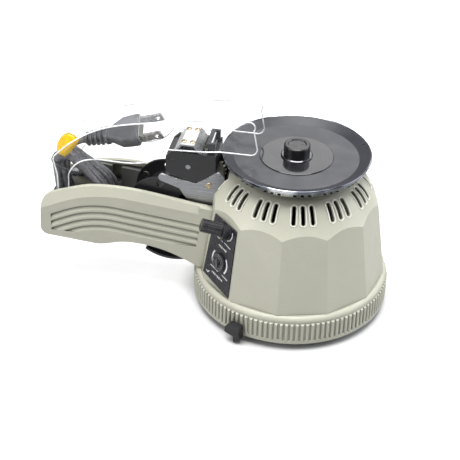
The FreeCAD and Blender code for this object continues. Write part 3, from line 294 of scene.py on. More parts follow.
def inner_black():
    """Polished inner plate that mirrors the knob, with fine circular wipe marks."""
    look = Look("inner_black", (0.010, 0.010, 0.012), 0.07, Specular_IOR_Level=0.42,
                Coat_Weight=0.1, Coat_Roughness=0.05)
    look.mottled(0.01, (0.026, 0.026, 0.031), 0.6)
    look.rough(look.rings(0.0009), 0.05, 0.16)
    return look.bump(look.noise(0.006, 2.0), 0.004, 0.3)


def knob_black():
    look = Look("knob_black", (0.012, 0.012, 0.013), 0.25, Specular_IOR_Level=0.5)
    look.mottled(0.004, (0.022, 0.022, 0.024), 0.5).rounded(0.3, 0.2, (0.08, 0.08, 0.085))
    look.rough(look.noise(0.004, 4.0), 0.18, 0.34)
    return look.bump(look.noise(0.0004, 2.0), 0.005)


def chrome():
    look = Look("chrome", (0.72, 0.74, 0.79), 0.04, 1.0)
    # painted reflection: large dark blue patches stand in for dark surroundings mirrored in the rim
    look.mottled(0.03, (0.05, 0.055, 0.075), 0.95, 0.44, 0.52)
    look.mottled(0.006, (0.30, 0.32, 0.36), 0.5)
    look.rough(look.noise(0.004, 4.0), 0.02, 0.09)
    return look.bump(look.noise(0.011, 1.0), 0.05, 0.4)


def clear_plastic():
    """Thin clear wall: only its reflections and a faint grey tint show."""
    look = Look("clear_plastic", (0.50, 0.52, 0.55), 0.06, Specular_IOR_Level=0.5, IOR=1.49)
    facing = look.add("ShaderNodeLayerWeight")
    facing.inputs["Blend"].default_value = 0.3
    solid = look.ranged(facing.outputs["Facing"], 0.25, 1.0, 0.03, 0.5)
    look.put(solid, look.shader.inputs["Alpha"])
    look.rough(look.noise(0.008, 3.0), 0.03, 0.1)
    return look.bump(look.noise(0.03, 1.0), 0.08, 0.3)


def clear_edge():
    """Light gathers in the cover's cut edges, so they show white."""
    look = Look("clear_edge", (0.95, 0.96, 0.97), 0.2, Specular_IOR_Level=0.6)
    look.mottled(0.004, (0.85, 0.88, 0.90), 0.6)
    look.mottled(0.013, (0.42, 0.44, 0.47), 0.75, 0.52, 0.6)
    look.rough(look.noise(0.003, 3.0), 0.06, 0.2)
    return look.bump(look.noise(0.005, 2.0), 0.05, 0.3)


def dial_black():
    """Black dial whose turned edges show as pale rings, a painted highlight."""
    look = Look("dial_black", (0.035, 0.035, 0.038), 0.3, Specular_IOR_Level=0.4)
    look.mottled(0.002, (0.07, 0.07, 0.075), 0.5).rounded(0.4, 0.95, (0.55, 0.55, 0.57))
    look.rough(look.noise(0.002, 3.0), 0.24, 0.4)
    return look.bump(look.noise(0.0006, 2.0), 0.008)


def panel_film():
    look = Look("panel_film", (0.018, 0.018, 0.022), 0.3, Specular_IOR_Level=0.3)
    # pale edges: partly worn, partly a painted highlight along the panel's border
    look.mottled(0.006, (0.028, 0.027, 0.033), 0.7).rounded(0.15, 0.5, (0.4, 0.4, 0.41))
    look.rough(look.noise(0.004, 4.0), 0.2, 0.34)
    return look.bump(look.noise(0.0007, 2.0), 0.006)


def print_ink():
    look = Look("print_ink", (0.78, 0.78, 0.80), 0.5)
    look.mottled(0.0015, (0.55, 0.55, 0.58), 0.5, 0.45, 0.75)
    look.rough(look.noise(0.001, 2.0), 0.4, 0.6)
    return look


def cord_sheath():
    """Glossy grey-black sheath with drag marks and pale dust."""
    look = Look("cord_sheath", (0.115, 0.114, 0.124), 0.3, Specular_IOR_Level=0.7)
    look.mottled(0.006, (0.16, 0.158, 0.17), 0.7)
    look.mottled(0.0012, (0.3, 0.3, 0.32), 0.35, 0.62, 0.78)
    # painted shade: near black where the turns of the lead crowd together
    look.shade_in_hollows(0.004, (0.012, 0.012, 0.013), 0.3, 0.85)
    look.rough(look.noise(0.003, 4.0), 0.16, 0.36)
    return look.bump(look.noise(0.0015, 3.0), 0.03, 0.5)


def plug_rubber():
    look = Look("plug_rubber", (0.055, 0.055, 0.061), 0.4, Specular_IOR_Level=0.5)
    # painted shade: near black in the strain relief's grooves and other hollows
    look.shade_in_hollows(0.004, (0.006, 0.006, 0.007), 0.3, 0.8)
    look.mottled(0.008, (0.085, 0.085, 0.093), 0.8).rounded(0.3, 0.35, (0.16, 0.16, 0.17))
    look.rough(look.noise(0.003, 4.0), 0.3, 0.5)
    return look.bump(look.noise(0.0006, 3.0), 0.015)


def foot_rubber():
    look = Look("foot_rubber", (0.02, 0.02, 0.021), 0.75, Specular_IOR_Level=0.25)
    look.mottled(0.004, (0.045, 0.044, 0.042), 0.6).rounded(0.3, 0.3, (0.1, 0.1, 0.1))
    return look.bump(look.noise(0.0007, 3.0), 0.03)


def roller_rubber():
    look = Look("roller_rubber", (0.035, 0.034, 0.034), 0.55, Specular_IOR_Level=0.3)
    look.mottled(0.002, (0.075, 0.072, 0.07), 0.5).rounded(0.2, 0.3, (0.14, 0.14, 0.14))
    return look.bump(look.scratches(0.0006, "x"), 0.03)


def nylon():
    look = Look("nylon", (0.72, 0.70, 0.62), 0.38, Subsurface_Weight=0.15,
                Subsurface_Radius=(0.002, 0.0018, 0.0012))
    look.mottled(0.006, (0.60, 0.57, 0.47), 0.6).rounded(0.15, 0.3, (0.85, 0.83, 0.76))
    look.rough(look.noise(0.003, 3.0), 0.3, 0.48)
    return look.bump(look.noise(0.0008, 2.0), 0.01)


def board_green():
    look = Look("board_green", (0.012, 0.13, 0.05), 0.3, Coat_Weight=0.3)
    look.mottled(0.004, (0.03, 0.21, 0.08), 0.8, 0.48, 0.52)
    return look.bump(look.noise(0.003, 1.0), 0.03)


def painted_steel():
    look = Look("painted_steel", (0.03, 0.03, 0.031), 0.5, Coat_Weight=0.1)
    look.mottled(0.015, (0.05, 0.05, 0.05), 0.7).rounded(0.2, 0.4, (0.22, 0.21, 0.2))
    look.rough(look.noise(0.006, 3.0), 0.42, 0.6)
    return look.bump(look.noise(0.0012, 2.0), 0.02)


def label_film():
    """Amber film with a soft crease, and paler and darker blotches."""
    look = Look("label_film", (0.86, 0.49, 0.005), 0.28, Specular_IOR_Level=0.5,
                Coat_Weight=0.3, Coat_Roughness=0.12)
    look.mottled(0.006, (0.95, 0.66, 0.02), 0.9)
    look.mottled(0.0012, (0.62, 0.30, 0.01), 0.3, 0.6, 0.75)
    look.rough(look.noise(0.003, 3.0), 0.2, 0.4)
    return look.bump(look.noise(0.004, 2.0), 0.15, 0.5)


def turned_metal(name, colour, roughness):
    look = Look(name, colour, roughness, 1.0)
    darker = tuple(c * 0.7 for c in colour)
    look.mottled(0.003, darker, 0.6)
    # pale edges: partly worn, partly a painted highlight
    look.rounded(0.12, 0.4, tuple(min(1.0, c * 1.3) for c in colour))
    look.rough(look.noise(0.0015, 4.0), roughness - 0.08, roughness + 0.12)
    return look.bump(look.noise(0.0006, 2.0), 0.01, 0.5)


LOOKS = {
    "grey_abs": grey_plastic(),
    "black_abs": black_plastic(),
    "grey_trim": trim_plastic(),
    "plate_steel": painted_steel(),
    "foot_rubber": foot_rubber(),
    "roller_rubber": roller_rubber(),
    "white_nylon": nylon(),
    "board_green": board_green(),
    "bright_steel": plate_steel(),
    "pot_body": turned_metal("plated_can", (0.55, 0.55, 0.53), 0.35),
    "aluminium": turned_metal("aluminium", (0.70, 0.70, 0.71), 0.3),
    "brass": turned_metal("brass", (0.60, 0.50, 0.34), 0.3),
    "gloss_black": disc_black(),
    "bright_chrome": chrome(),
    "clear_pc": clear_plastic(),
    "panel_film": panel_film(),
    "cord_pvc": cord_sheath(),
    "tag_film": label_film(),
}
EXTRA = {
    "edge": clear_edge(),
    "ink": print_ink(),
    "plug": plug_rubber(),
    "fluted": fluted_black(),
    "inner": inner_black(),
    "knob": knob_black(),
    "collar": turned_metal("collar_steel", (0.13, 0.13, 0.14), 0.16),
    "screw": turned_metal("zinc_screw", (0.50, 0.50, 0.50), 0.25),
    "dial": dial_black(),
    # painted highlight: a paler copy of the grey plastic for the vents' rims
    "vent_lip_highlight": moulded("vent_lip_highlight", (0.78, 0.77, 0.69), 0.38),
    "blade": turned_metal("nickel", (0.66, 0.64, 0.61), 0.28),
}
NODE_LOOKS = {
    "width_knob": EXTRA["fluted"],
    "length_dial": EXTRA["dial"],
    "turntable_inner_plate": EXTRA["inner"],
    "turntable_knob": EXTRA["knob"],
    "turntable_collar": EXTRA["collar"],
    "plug_blades": EXTRA["blade"],
    "cable_gland": EXTRA["plug"],
}


def finish_nodes():
    """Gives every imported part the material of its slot, or its own."""
    for row in frame["record"]["subparts"]:
        look = NODE_LOOKS.get(row["node"], LOOKS[row["material_slot"]])
        NODES[row["node"]].data.materials.clear()
        NODES[row["node"]].data.materials.append(look.mat)


# ---------------------------------------------------------------- making pieces
WELD = 1e-6                    # vertices closer than this are one
LOFT_SEGMENTS = 40


def piece(name, data, body, look):
    """Links a mesh or curve as a piece that rides on a body and takes the material of a look."""
    thing = bpy.data.objects.new(name, data)
    bpy.context.scene.collection.objects.link(thing)
    data.materials.append(look.mat)
    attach(thing, body)
    return thing


def mesh_of(name, bm, smooth_angle=math.radians(35)):
    """A mesh that is shaded smooth across every edge that turns less than an angle."""
    bmesh.ops.recalc_face_normals(bm, faces=bm.faces)
    for face in bm.faces:
        face.smooth = True
    for edge in bm.edges:
        edge.smooth = len(edge.link_faces) != 2 or edge.calc_face_angle(0.0) < smooth_angle
    mesh = bpy.data.meshes.new(name)
    bm.to_mesh(mesh)
    bm.free()
    return mesh


def tube_curve(name, paths, radius_mm, closed=False):
    """A curve with a round section along each path."""
    data = bpy.data.curves.new(name, "CURVE")
    data.dimensions = "3D"
    data.bevel_depth = radius_mm * MM
    data.bevel_resolution = 4
    data.use_fill_caps = True
    for path in paths:
        spline = data.splines.new("POLY")
        spline.points.add(len(path) - 1)
        for point, place in zip(spline.points, path):
            point.co = (*place, 1)
        spline.use_cyclic_u = closed
    return data


def oval(k, count, half_wide, half_high, power):
    """Point k of count round an oval: a power of 1 is an ellipse, and less is boxier."""
    a = 2 * math.pi * k / count
    c, s = math.cos(a), math.sin(a)
    return (half_wide * math.copysign(abs(c) ** power, c),
            half_high * math.copysign(abs(s) ** power, s))


def bridge(bm, low, high):
    """Faces between two closed rings of vertices."""
    for k in range(len(low)):
        n = (k + 1) % len(low)
        bm.faces.new((low[k], low[n], high[n], high[k]))


def loft(bm, sections):
    """Skin over sections (x, half width, half thickness, squareness) in millimetres, capped."""
    rings = []
    for x, half_width, half_thick, square in sections:
        ring = []
        for k in range(LOFT_SEGMENTS):
            y, z = oval(k, LOFT_SEGMENTS, half_width, half_thick, 2 / square)
            ring.append(bm.verts.new((x * MM, y * MM, z * MM)))
        rings.append(ring)
    for low, high in zip(rings, rings[1:]):
        bridge(bm, low, high)
    bm.faces.new(rings[0])
    bm.faces.new(rings[-1])


# ---------------------------------------------------------------- mains lead and its hank
CORD_D = 0.004
LEAD_ROUTE_MM = (              # from the gland, over the tray's lip, to the first turn
    (-80, 0, 34.5), (-87, 0, 34.5), (-95, 0.8, 38), (-103.5, 1.8, 42.6), (-112, 2.3, 45.4),
    (-120.5, 2.4, 45.2))
TAIL_ROUTE_MM = (              # from the last turn, up through the tied fold, to the plug
    (-141.8, 0, 66.5), (-140.52, 0, 78.56), (-140.13, 0, 84.14), (-137.59, 0, 89.13),
    (-133.33, 0, 92.77), (-128, 0, 94.5))
HEAD_MM = (-139.8, 78.0)       # middle of the tied fold
FOOT_MM = (-129.2, 56.5)       # middle of the loose fold
HEAD_RADII_MM = (4.2, 7.4)     # inner and outer layer
FOOT_RADII_MM = (12.2, 15.6)
HANK_LEAN = math.radians(28.2)
HANK_FLARE = math.radians(19.7)    # each leg opens this far, which runs it straight into both folds
GATHER = 0.45                  # how far the tie draws the turns together
FOOT_SHARE = 0.25              # share of a turn where its loose fold ends and a leg begins
HEAD_SHARE = 0.3               # share where that leg ends and the tied fold begins
TURN_SHARES = (                # where a turn has its points, closest at the ends of the legs
    0, 0.0625, 0.125, 0.1875, 0.25, 0.2625, 0.2875, 0.296,
    *(HEAD_SHARE + k / 20 for k in range(9)),
    0.704, 0.7125, 0.7375, 0.75, 0.8125, 0.875, 0.9375)
TURNS = (                      # layer and lane at a turn's start and end, and how far it strays
    (0, 0, 2.4, 6.0, 1.0), (0, 1, 6.0, 9.3, 2.0), (1, 1, 9.3, 5.6, -0.9),
    (1, 1, 5.6, 2.0, 0.5), (1, 1, 2.0, -1.7, -1.3), (1, 1, -1.7, -5.4, 0.6),
    (1, 1, -5.4, -9.2, -0.8), (1, 0, -9.2, -5.3, 1.6), (0, 0, -5.3, -1.4, 2.2))
TAIL_DRIFT_MM = 5              # how far a whole turn would lead the tail across, to the middle
TIE_MM = (-138.9, 76.0)
TIE_HALF_MM = (10.4, 7.9)
TIE_SLOPE = 0.4
TIE_POWER = 0.6                # makes its ring boxier than an ellipse
TIE_POINTS = 40
TIE_WIRE_MM = 0.8


def fold_point(at_head, angle, layer, lane, stray):
    """A point on the tied or the loose fold; the angle is measured square to the leaning hank."""
    (x, z), radii = (HEAD_MM, HEAD_RADII_MM) if at_head else (FOOT_MM, FOOT_RADII_MM)
    radius = radii[0] + (radii[1] - radii[0]) * layer
    if at_head:
        lane, stray = lane * (1 - GATHER), 0
    angle += HANK_LEAN
    return Vector((x + stray + radius * math.cos(angle), lane, z + radius * math.sin(angle)))


def hank_point(share, *where):
    """A point on one turn, which runs from the bottom up the outer leg, over and back."""
    from_bottom = min(share, 1 - share)
    side = 1 if share < 0.5 else -1
    right_angle = math.pi / 2
    if from_bottom <= FOOT_SHARE:
        swing = (right_angle + HANK_FLARE) * from_bottom / FOOT_SHARE
        return fold_point(False, -right_angle - side * swing, *where)
    if from_bottom >= HEAD_SHARE:
        swing = (right_angle - HANK_FLARE) * (0.5 - from_bottom) / (0.5 - HEAD_SHARE)
        return fold_point(True, right_angle + side * swing, *where)
    angle = right_angle + side * (right_angle - HANK_FLARE)
    climb = (from_bottom - FOOT_SHARE) / (HEAD_SHARE - FOOT_SHARE)
    return fold_point(False, angle, *where).lerp(fold_point(True, angle, *where), climb)


def hank_route():
    """Turns side by side: half of the inner layer, the outer one, and the rest of the inner."""
    route = []
    last = 0.0
    for layer_in, layer_out, lane_in, lane_out, stray in TURNS:
        for share in TURN_SHARES:
            layer = layer_in + (layer_out - layer_in) * share
            lane = lane_in + (lane_out - lane_in) * share
            route.append(hank_point(share, layer, lane, last + (stray - last) * share))
        last = stray
    _, layer, _, lane, stray = TURNS[-1]
    for share in TURN_SHARES:
        if share <= FOOT_SHARE:
            route.append(hank_point(share, layer, lane + TAIL_DRIFT_MM * share, stray))
    return route


def lead():
    """The whole mains lead on one smooth line, from the gland through the hank to the plug."""
    route = [*LEAD_ROUTE_MM, *hank_route()[1:], *TAIL_ROUTE_MM]
    data = bpy.data.curves.new("mains_lead", "CURVE")
    data.dimensions = "3D"
    data.bevel_depth = CORD_D / 2
    data.bevel_resolution = 5
    data.resolution_u = 5
    spline = data.splines.new("NURBS")
    spline.points.add(len(route) - 1)
    for point, place in zip(spline.points, route):
        point.co = (*beside_axis(*place), 1)
    spline.order_u = 3
    spline.use_endpoint_u = True
    thing = piece("mains_lead", data, "housing", LOOKS["cord_pvc"])
    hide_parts("power_lead", "cord_hank", "plug_tail")
    return thing


def hank_tie():
    """Wire tie round the hank, below its tied fold."""
    ring = []
    for k in range(TIE_POINTS):
        x, y = oval(k, TIE_POINTS, *TIE_HALF_MM, TIE_POWER)
        ring.append(beside_axis(TIE_MM[0] + x, y, TIE_MM[1] - TIE_SLOPE * x))
    data = tube_curve("hank_tie", [ring], TIE_WIRE_MM, closed=True)
    return piece("hank_tie", data, "housing", LOOKS["black_abs"])


# ---------------------------------------------------------------- plug
PLUG_TILT = math.radians(18)
PLUG_ROLL = math.radians(28)
# Sections are x from the cable's end, half width, half thickness and squareness.
SLEEVE = ((-1.5, 2.2, 2.2, 2), (0, 2.4, 2.4, 2), (8, 2.7, 2.6, 2), (14.0, 3.6, 3.2, 2))
COLLAR = ((12.9, 4.6, 3.6, 2.6), (13.3, 5.5, 4.4, 2.8), (15.2, 5.6, 4.5, 2.8),
          (15.6, 5.0, 4.0, 2.8))
WEDGE = ((15.0, 4.7, 3.6, 2.8), (17.5, 5.3, 3.8, 3.0), (20.5, 7.2, 4.0, 3.6),
         (24.5, 9.5, 4.2, 4.2), (30, 9.9, 4.25, 4.6), (34.3, 10, 4.25, 4.8),
         (35.0, 9.8, 4.05, 4.8), (35.2, 9.3, 3.6, 4.8))
FACE = ((34.6, 8.9, 3.3, 4.6), (35.7, 8.9, 3.3, 4.6), (36.0, 8.6, 3.0, 4.6))
RIBS = 4
FIRST_RIB_MM = 0.6
RIB_PITCH_MM = 3.1


def on_plug(mesh):
    """Moves a mesh drawn along X from the cable end to where the plug lies."""
    mesh.transform(Matrix.Translation(beside_axis(*TAIL_ROUTE_MM[-1]))
                   @ Matrix.Rotation(-PLUG_TILT, 4, "Y") @ Matrix.Rotation(PLUG_ROLL, 4, "X"))
    return mesh


def rib(k):
    """Sections of one rib of the strain relief; each is larger than the one before."""
    x = FIRST_RIB_MM + RIB_PITCH_MM * k
    wide, thick = 4.3 + 0.4 * k, 3.9 + 0.2 * k
    return ((x, wide - 1.2, thick - 1.1, 2.2), (x + 0.3, wide, thick, 2.4),
            (x + 1.2, wide, thick, 2.4), (x + 1.5, wide - 1.2, thick - 1.1, 2.2))


def plug_shell():
    """Ribbed strain relief, collar and wedge-shaped body, moulded in one."""
    bm = bmesh.new()
    for sections in (SLEEVE, *(rib(k) for k in range(RIBS)), COLLAR, WEDGE):
        loft(bm, sections)
    mesh = on_plug(mesh_of("plug_shell", bm))
    shell = piece("plug_shell", mesh, "housing", EXTRA["plug"])
    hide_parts("plug_body")
    return shell


def plug_face():
    """Paler insulating face that carries the blades."""
    bm = bmesh.new()
    loft(bm, FACE)
    mesh = on_plug(mesh_of("plug_face", bm))
    return piece("plug_face", mesh, "housing", LOOKS["grey_trim"])


# ---------------------------------------------------------------- label on the lead
LABEL_MM = (
    (-144.6, 89.8), (-143.9, 94.6), (-141.9, 98.2), (-139.4, 100.7), (-136.6, 101.3),
    (-133.0, 100.4), (-130.6, 97.9), (-131.6, 94.8), (-134.4, 91.2), (-137.4, 87.4),
    (-139.9, 85.2), (-142.8, 86.6))
LABEL_MIDDLE_MM = (-137.6, 93.6)
LABEL_PER_SIDE = 6             # points on each side of the outline
LABEL_RINGS = 10
LEAVES_MM = ((-8.2, -1.5), (-6.6, 0.8))    # where each leaf lies, and how far its middle bulges
CREASE_MM = 0.35               # depth of the film's waves, and how fast they follow each other
CREASE_RATE = 0.55
FILM_MM = 0.18


def label_outline():
    """The label's outline with points between its corners."""
    outline = []
    for a, b in zip(LABEL_MM, LABEL_MM[1:] + LABEL_MM[:1]):
        for k in range(LABEL_PER_SIDE):
            share = k / LABEL_PER_SIDE
            outline.append((a[0] + (b[0] - a[0]) * share, a[1] + (b[1] - a[1]) * share))
    return outline


def label():
    """Film label folded over the lead: a bulging front leaf and a flatter rear one."""
    middle_x, middle_z = LABEL_MIDDLE_MM
    bm = bmesh.new()
    for y, bulge in LEAVES_MM:
        rings = []
        for i in range(1, LABEL_RINGS + 1):
            reach = i / LABEL_RINGS
            ring = []
            for edge_x, edge_z in label_outline():
                x = middle_x + (edge_x - middle_x) * reach
                z = middle_z + (edge_z - middle_z) * reach
                wave = CREASE_MM * math.sin(CREASE_RATE * (x - z)) * reach
                out = bulge * (1 - reach * reach) + wave
                ring.append(bm.verts.new(beside_axis(x, y + out, z)))
            rings.append(ring)
        for low, high in zip(rings, rings[1:]):
            bridge(bm, low, high)
        bm.faces.new(rings[0])
    mesh = mesh_of("lead_label", bm, math.radians(60))
    tag = piece("lead_label", mesh, "housing", LOOKS["tag_film"])
    solid = tag.modifiers.new("film", "SOLIDIFY")
    solid.thickness = FILM_MM * MM
    solid.offset = 0
    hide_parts("cord_tag")
    return tag


# ---------------------------------------------------------------- edges of the cover and vents
SHARP = math.radians(28)       # an edge that turns more than this is followed
COVER_LINE_MM = 0.42
VENT_RADII_MM = (35, 47)       # where the vents are, from the axis and from the floor
VENT_HEIGHTS_MM = (76, 90.2)
CONE_MM = (37.6, 87.0)         # a radius, and the height 1 mm below the vented cone there
CONE_FALL = 1.2                # how far the cone drops for each millimetre outward
VENT_HALF_MM = 1.1             # half of a vent's width
SHORTEST_RUN_MM = 3            # anything shorter than a vent is passed over
LIP_OFFSET_MM = 0.75
LIP_MM = 0.34


def sharp_chains(node, keep):
    """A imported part's sharp edges that pass a test, joined end to end into paths."""
    bm = bmesh.new()
    bm.from_mesh(NODES[node].data)
    bmesh.ops.remove_doubles(bm, verts=bm.verts, dist=WELD)
    bm.edges.ensure_lookup_table()
    joins = {}
    for edge in bm.edges:
        sharp = len(edge.link_faces) == 2 and edge.calc_face_angle(0.0) > SHARP
        if sharp and all(keep(v.co) for v in edge.verts):
            one, other = edge.verts[0].index, edge.verts[1].index
            joins.setdefault(one, []).append(other)
            joins.setdefault(other, []).append(one)
    places = [v.co.copy() for v in bm.verts]
    bm.free()
    paths = []
    used = set()
    ends_first = sorted(joins, key=lambda index: (len(joins[index]) == 2, index))
    for start in ends_first:
        for following in joins[start]:
            here, nxt = start, following
            path = [here]
            while nxt is not None and frozenset((here, nxt)) not in used:
                used.add(frozenset((here, nxt)))
                path.append(nxt)
                onward = [n for n in joins[nxt] if frozenset((nxt, n)) not in used]
                here, nxt = nxt, onward[0] if onward and len(joins[nxt]) == 2 else None
            if len(path) > 1:
                paths.append([places[index] for index in path])
    return paths


def cover_edges():
    """Painted highlight: white lines along the cut edges of the cover's two side panels."""
    half = max(abs(v.co.y) for v in NODES["clear_cover"].data.vertices)
    paths = sharp_chains("clear_cover", lambda co: abs(abs(co.y) - half) < 0.1 * MM)
    data = tube_curve("cover_edges", paths, COVER_LINE_MM)
    return piece("cover_edges", data, "cover", EXTRA["edge"])


def on_vented_cone(co):
    """Whether a point of the body is on the outside of the cone, where the vents are."""
    radius = math.hypot(co.x - AXIS.x, co.y - AXIS.y) / MM
    height = (co.z - FLOOR_Z) / MM
    return (VENT_RADII_MM[0] < radius < VENT_RADII_MM[1]
            and VENT_HEIGHTS_MM[0] < height < VENT_HEIGHTS_MM[1]
            and height > CONE_MM[1] - CONE_FALL * (radius - CONE_MM[0]))


def vent_rims():
    """Raised lips round the body's vents, in a paler copy of the body's plastic: a painted
    highlight along each rim.
    """
    rims = []
    for path in sharp_chains("body_shell", on_vented_cone):
        centre = sum(path, Vector()) / len(path)
        along = max((co - centre for co in path), key=lambda run: run.length)
        reach = max(along.length - VENT_HALF_MM * MM, 0)
        along = along.normalized()
        rim = []
        for co in path:
            share = max(-reach, min(reach, (co - centre).dot(along)))
            away = co - (centre + along * share)
            rim.append(co + away.normalized() * LIP_OFFSET_MM * MM)
        if reach > SHORTEST_RUN_MM * MM:
            rims.append(rim)
    data = tube_curve("vent_rims", rims, LIP_MM)
    return piece("vent_rims", data, "housing", EXTRA["vent_lip_highlight"])


# ---------------------------------------------------------------- print on the control panel
FACET_TURN = math.radians(-135)            # the way the panel's facet faces
FACET_HALF = math.radians(15)              # half of one of the body's twelve sides
BODY_TAPER = 6.8 / 48.0                    # how the radius over the corners shrinks with height
BODY_FOOT_RADIUS_MM = 57.4                 # over the corners, where the body leaves the ring
BODY_FOOT_MM = 23.3                        # and how high that is
PRINT_OUT_MM = 0.86                        # from the facet to the print on the panel
# Places are millimetres across and up the facet.
DIAL_AT = (-0.6, 43.0)
KNOB_AT = (2.0, 65.3)
SWEEPS = (                                 # centre, radius, from and to in degrees, width
    (DIAL_AT, 7.4, -42, 40, 1.1), (DIAL_AT, 7.4, 140, 222, 1.1), (KNOB_AT, 5.6, -75, 20, 0.7))
SWEEP_STEPS = 20
DASHES = (((-5.9, 57.6), (-0.5, 57.1)), ((1.2, 57.2), (7.6, 56.2)),
          ((-8.6, 36.9), (-0.7, 36.0)), ((3.4, 36.0), (9.2, 35.3)))
DASH_WIDE = 0.55
BAR_ROWS = ((-3.6, 6, 53.4), (-6.4, 8, 33.2))      # where a row starts, its bars, its height
BAR_PITCH = 1.42
BAR_LONG = 0.8
BAR_WIDE = (1.0, 1.5, 1.5)                 # in turn along a row
BAR_SLOPE = 0.08                           # how far a bar falls along its own length
BAR_FALL = 0.12                            # how far it is below the bar before it
TICK = ((-12.1, 31.2), (-10.4, 30.6), (-9.0, 32.0))
TICK_WIDE = 0.7


def on_facet(across, up):
    """A point of the print on the control panel's facet."""
    lean = math.atan(BODY_TAPER * math.cos(FACET_HALF))
    level = Vector((math.cos(FACET_TURN), math.sin(FACET_TURN), 0))
    outward = Vector((level.x * math.cos(lean), level.y * math.cos(lean), math.sin(lean)))
    tangent = Vector((-level.y, level.x, 0))
    foot = level * (BODY_FOOT_RADIUS_MM + BODY_TAPER * BODY_FOOT_MM) * math.cos(FACET_HALF)
    raised = outward.cross(tangent) * up + outward * PRINT_OUT_MM
    return beside_axis(*(foot + tangent * across + raised))


def stroke(bm, points, width):
    """Flat printed line through points on the facet."""
    rows = []
    for k, (across, up) in enumerate(points):
        a, b = points[max(k - 1, 0)], points[min(k + 1, len(points) - 1)]
        run = Vector((b[0] - a[0], b[1] - a[1])).normalized() * width / 2
        rows.append([bm.verts.new(on_facet(across - side * run.y, up + side * run.x))
                     for side in (-1, 1)])
    for low, high in zip(rows, rows[1:]):
        bm.faces.new((low[0], high[0], high[1], low[1]))


def arc(centre, radius, start, end):
    """Points along an arc, from one angle in degrees to another."""
    angles = [math.radians(start + (end - start) * k / SWEEP_STEPS)
              for k in range(SWEEP_STEPS + 1)]
    return [(centre[0] + radius * math.cos(a), centre[1] + radius * math.sin(a)) for a in angles]


def panel_print():
    """Generic marks: sweeps beside the two controls, dashes and short bars."""
    bm = bmesh.new()
    for centre, radius, start, end, width in SWEEPS:
        stroke(bm, arc(centre, radius, start, end), width)
    for dash in DASHES:
        stroke(bm, dash, DASH_WIDE)
    for row_start, bars, row_up in BAR_ROWS:
        for k in range(bars):
            left, up = row_start + BAR_PITCH * k, row_up - BAR_FALL * k
            bar = ((left, up), (left + BAR_LONG, up - BAR_SLOPE))
            stroke(bm, bar, BAR_WIDE[k % len(BAR_WIDE)])
    stroke(bm, TICK, TICK_WIDE)
    mesh = mesh_of("panel_print", bm)
    return piece("panel_print", mesh, "housing", EXTRA["ink"])


# ---------------------------------------------------------------- screw heads
HEAD_RINGS = 14
HEAD_AROUND = 48
HEAD_DOME = 0.93               # how much of a half circle the dome's section spans
SLOT_HALF = 0.15               # the recess's half width and reach, as shares of the radius
SLOT_REACH = 0.58
SLOT_DEPTH = 0.5               # share of the head's height


def screw_head(bm, seat, normal, radius, height):
    """Domed head with a cross recess, as a fine polar grid, closed underneath."""
    turn = normal.to_track_quat("Z", "Y").to_matrix()

    def circle(r):
        """Places round the seat's centre, with the head's height over each."""
        for k in range(HEAD_AROUND):
            a = 2 * math.pi * k / HEAD_AROUND
            x, y = r * math.cos(a), r * math.sin(a)
            z = height * math.sqrt(1 - (HEAD_DOME * r / radius) ** 2)
            narrow, wide = sorted((abs(x), abs(y)))
            if narrow < SLOT_HALF * radius and wide < SLOT_REACH * radius:
                z -= SLOT_DEPTH * height
            yield x, y, z

    top = bm.verts.new(seat + turn @ Vector(next(circle(0.0))))
    rings = []
    for i in range(1, HEAD_RINGS + 1):
        r = radius * i / HEAD_RINGS
        rings.append([bm.verts.new(seat + turn @ Vector(place)) for place in circle(r)])
    rings.append([bm.verts.new(seat + turn @ Vector((x, y, 0))) for x, y, _ in circle(radius)])
    for k in range(HEAD_AROUND):
        bm.faces.new((top, rings[0][k], rings[0][(k + 1) % HEAD_AROUND]))
    for inner, outer in zip(rings, rings[1:]):
        bridge(bm, inner, outer)
    bm.faces.new(rings[-1])


def lump_boxes(node):
    """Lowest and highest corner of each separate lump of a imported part."""
    bm = bmesh.new()
    bm.from_mesh(NODES[node].data)
    bmesh.ops.remove_doubles(bm, verts=bm.verts, dist=WELD)
    boxes = []
    seen = set()
    for seed in bm.verts:
        if seed in seen:
            continue
        lump, queue = [], [seed]
        seen.add(seed)
        while queue:
            vert = queue.pop()
            lump.append(vert.co)
            for edge in vert.link_edges:
                other = edge.other_vert(vert)
                if other not in seen:
                    seen.add(other)
                    queue.append(other)
        boxes.append((Vector([min(co[k] for co in lump) for k in range(3)]),
                      Vector([max(co[k] for co in lump) for k in range(3)])))
    bm.free()
    return boxes


def screw_heads(name, node, look, outward):
    """Cross-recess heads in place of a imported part's plain discs.

    A disc that lies across the object faces away from its middle where outward is 1, and
    towards it where outward is -1. Any other faces up its thin axis.
    """
    bm = bmesh.new()
    for low, high in lump_boxes(node):
        size, centre = high - low, (low + high) / 2
        thin = min(range(3), key=lambda axis: size[axis])
        normal = Vector((0, 0, 0))
        normal[thin] = math.copysign(1.0, centre.y) * outward if thin == 1 else 1.0
        seat = centre - normal * size[thin] / 2
        screw_head(bm, seat, normal, size[(thin + 1) % 3] / 2, size[thin])
    heads = piece(name, mesh_of(name, bm, math.radians(50)), "housing", look)
    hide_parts(node)


# ---------------------------------------------------------------- stage
FLOOR_HALF = 6.0
SHADE_REACH = 0.02             # how near the object has to be to shade the floor's glow
WORLD_FOR_DIFFUSE = 0.20       # strength of the surroundings, which are 1 to the camera
WORLD_FOR_GLOSSY = 0.26
LIGHTS = (                     # name, azimuth, elevation, distance, size, power, colour
    ("top", -10, 84, 1.3, (1.0, 1.0), 31, (1, 1, 1)),
    ("key", -58, 30, 1.4, (0.8, 0.8), 8, (1, 1, 1)),
    ("back", 165, 42, 1.5, (1.4, 0.8), 9, (1, 1, 1)),
    ("fill", 100, 28, 1.5, (0.9, 0.9), 11, (0.92, 0.96, 1.0)))


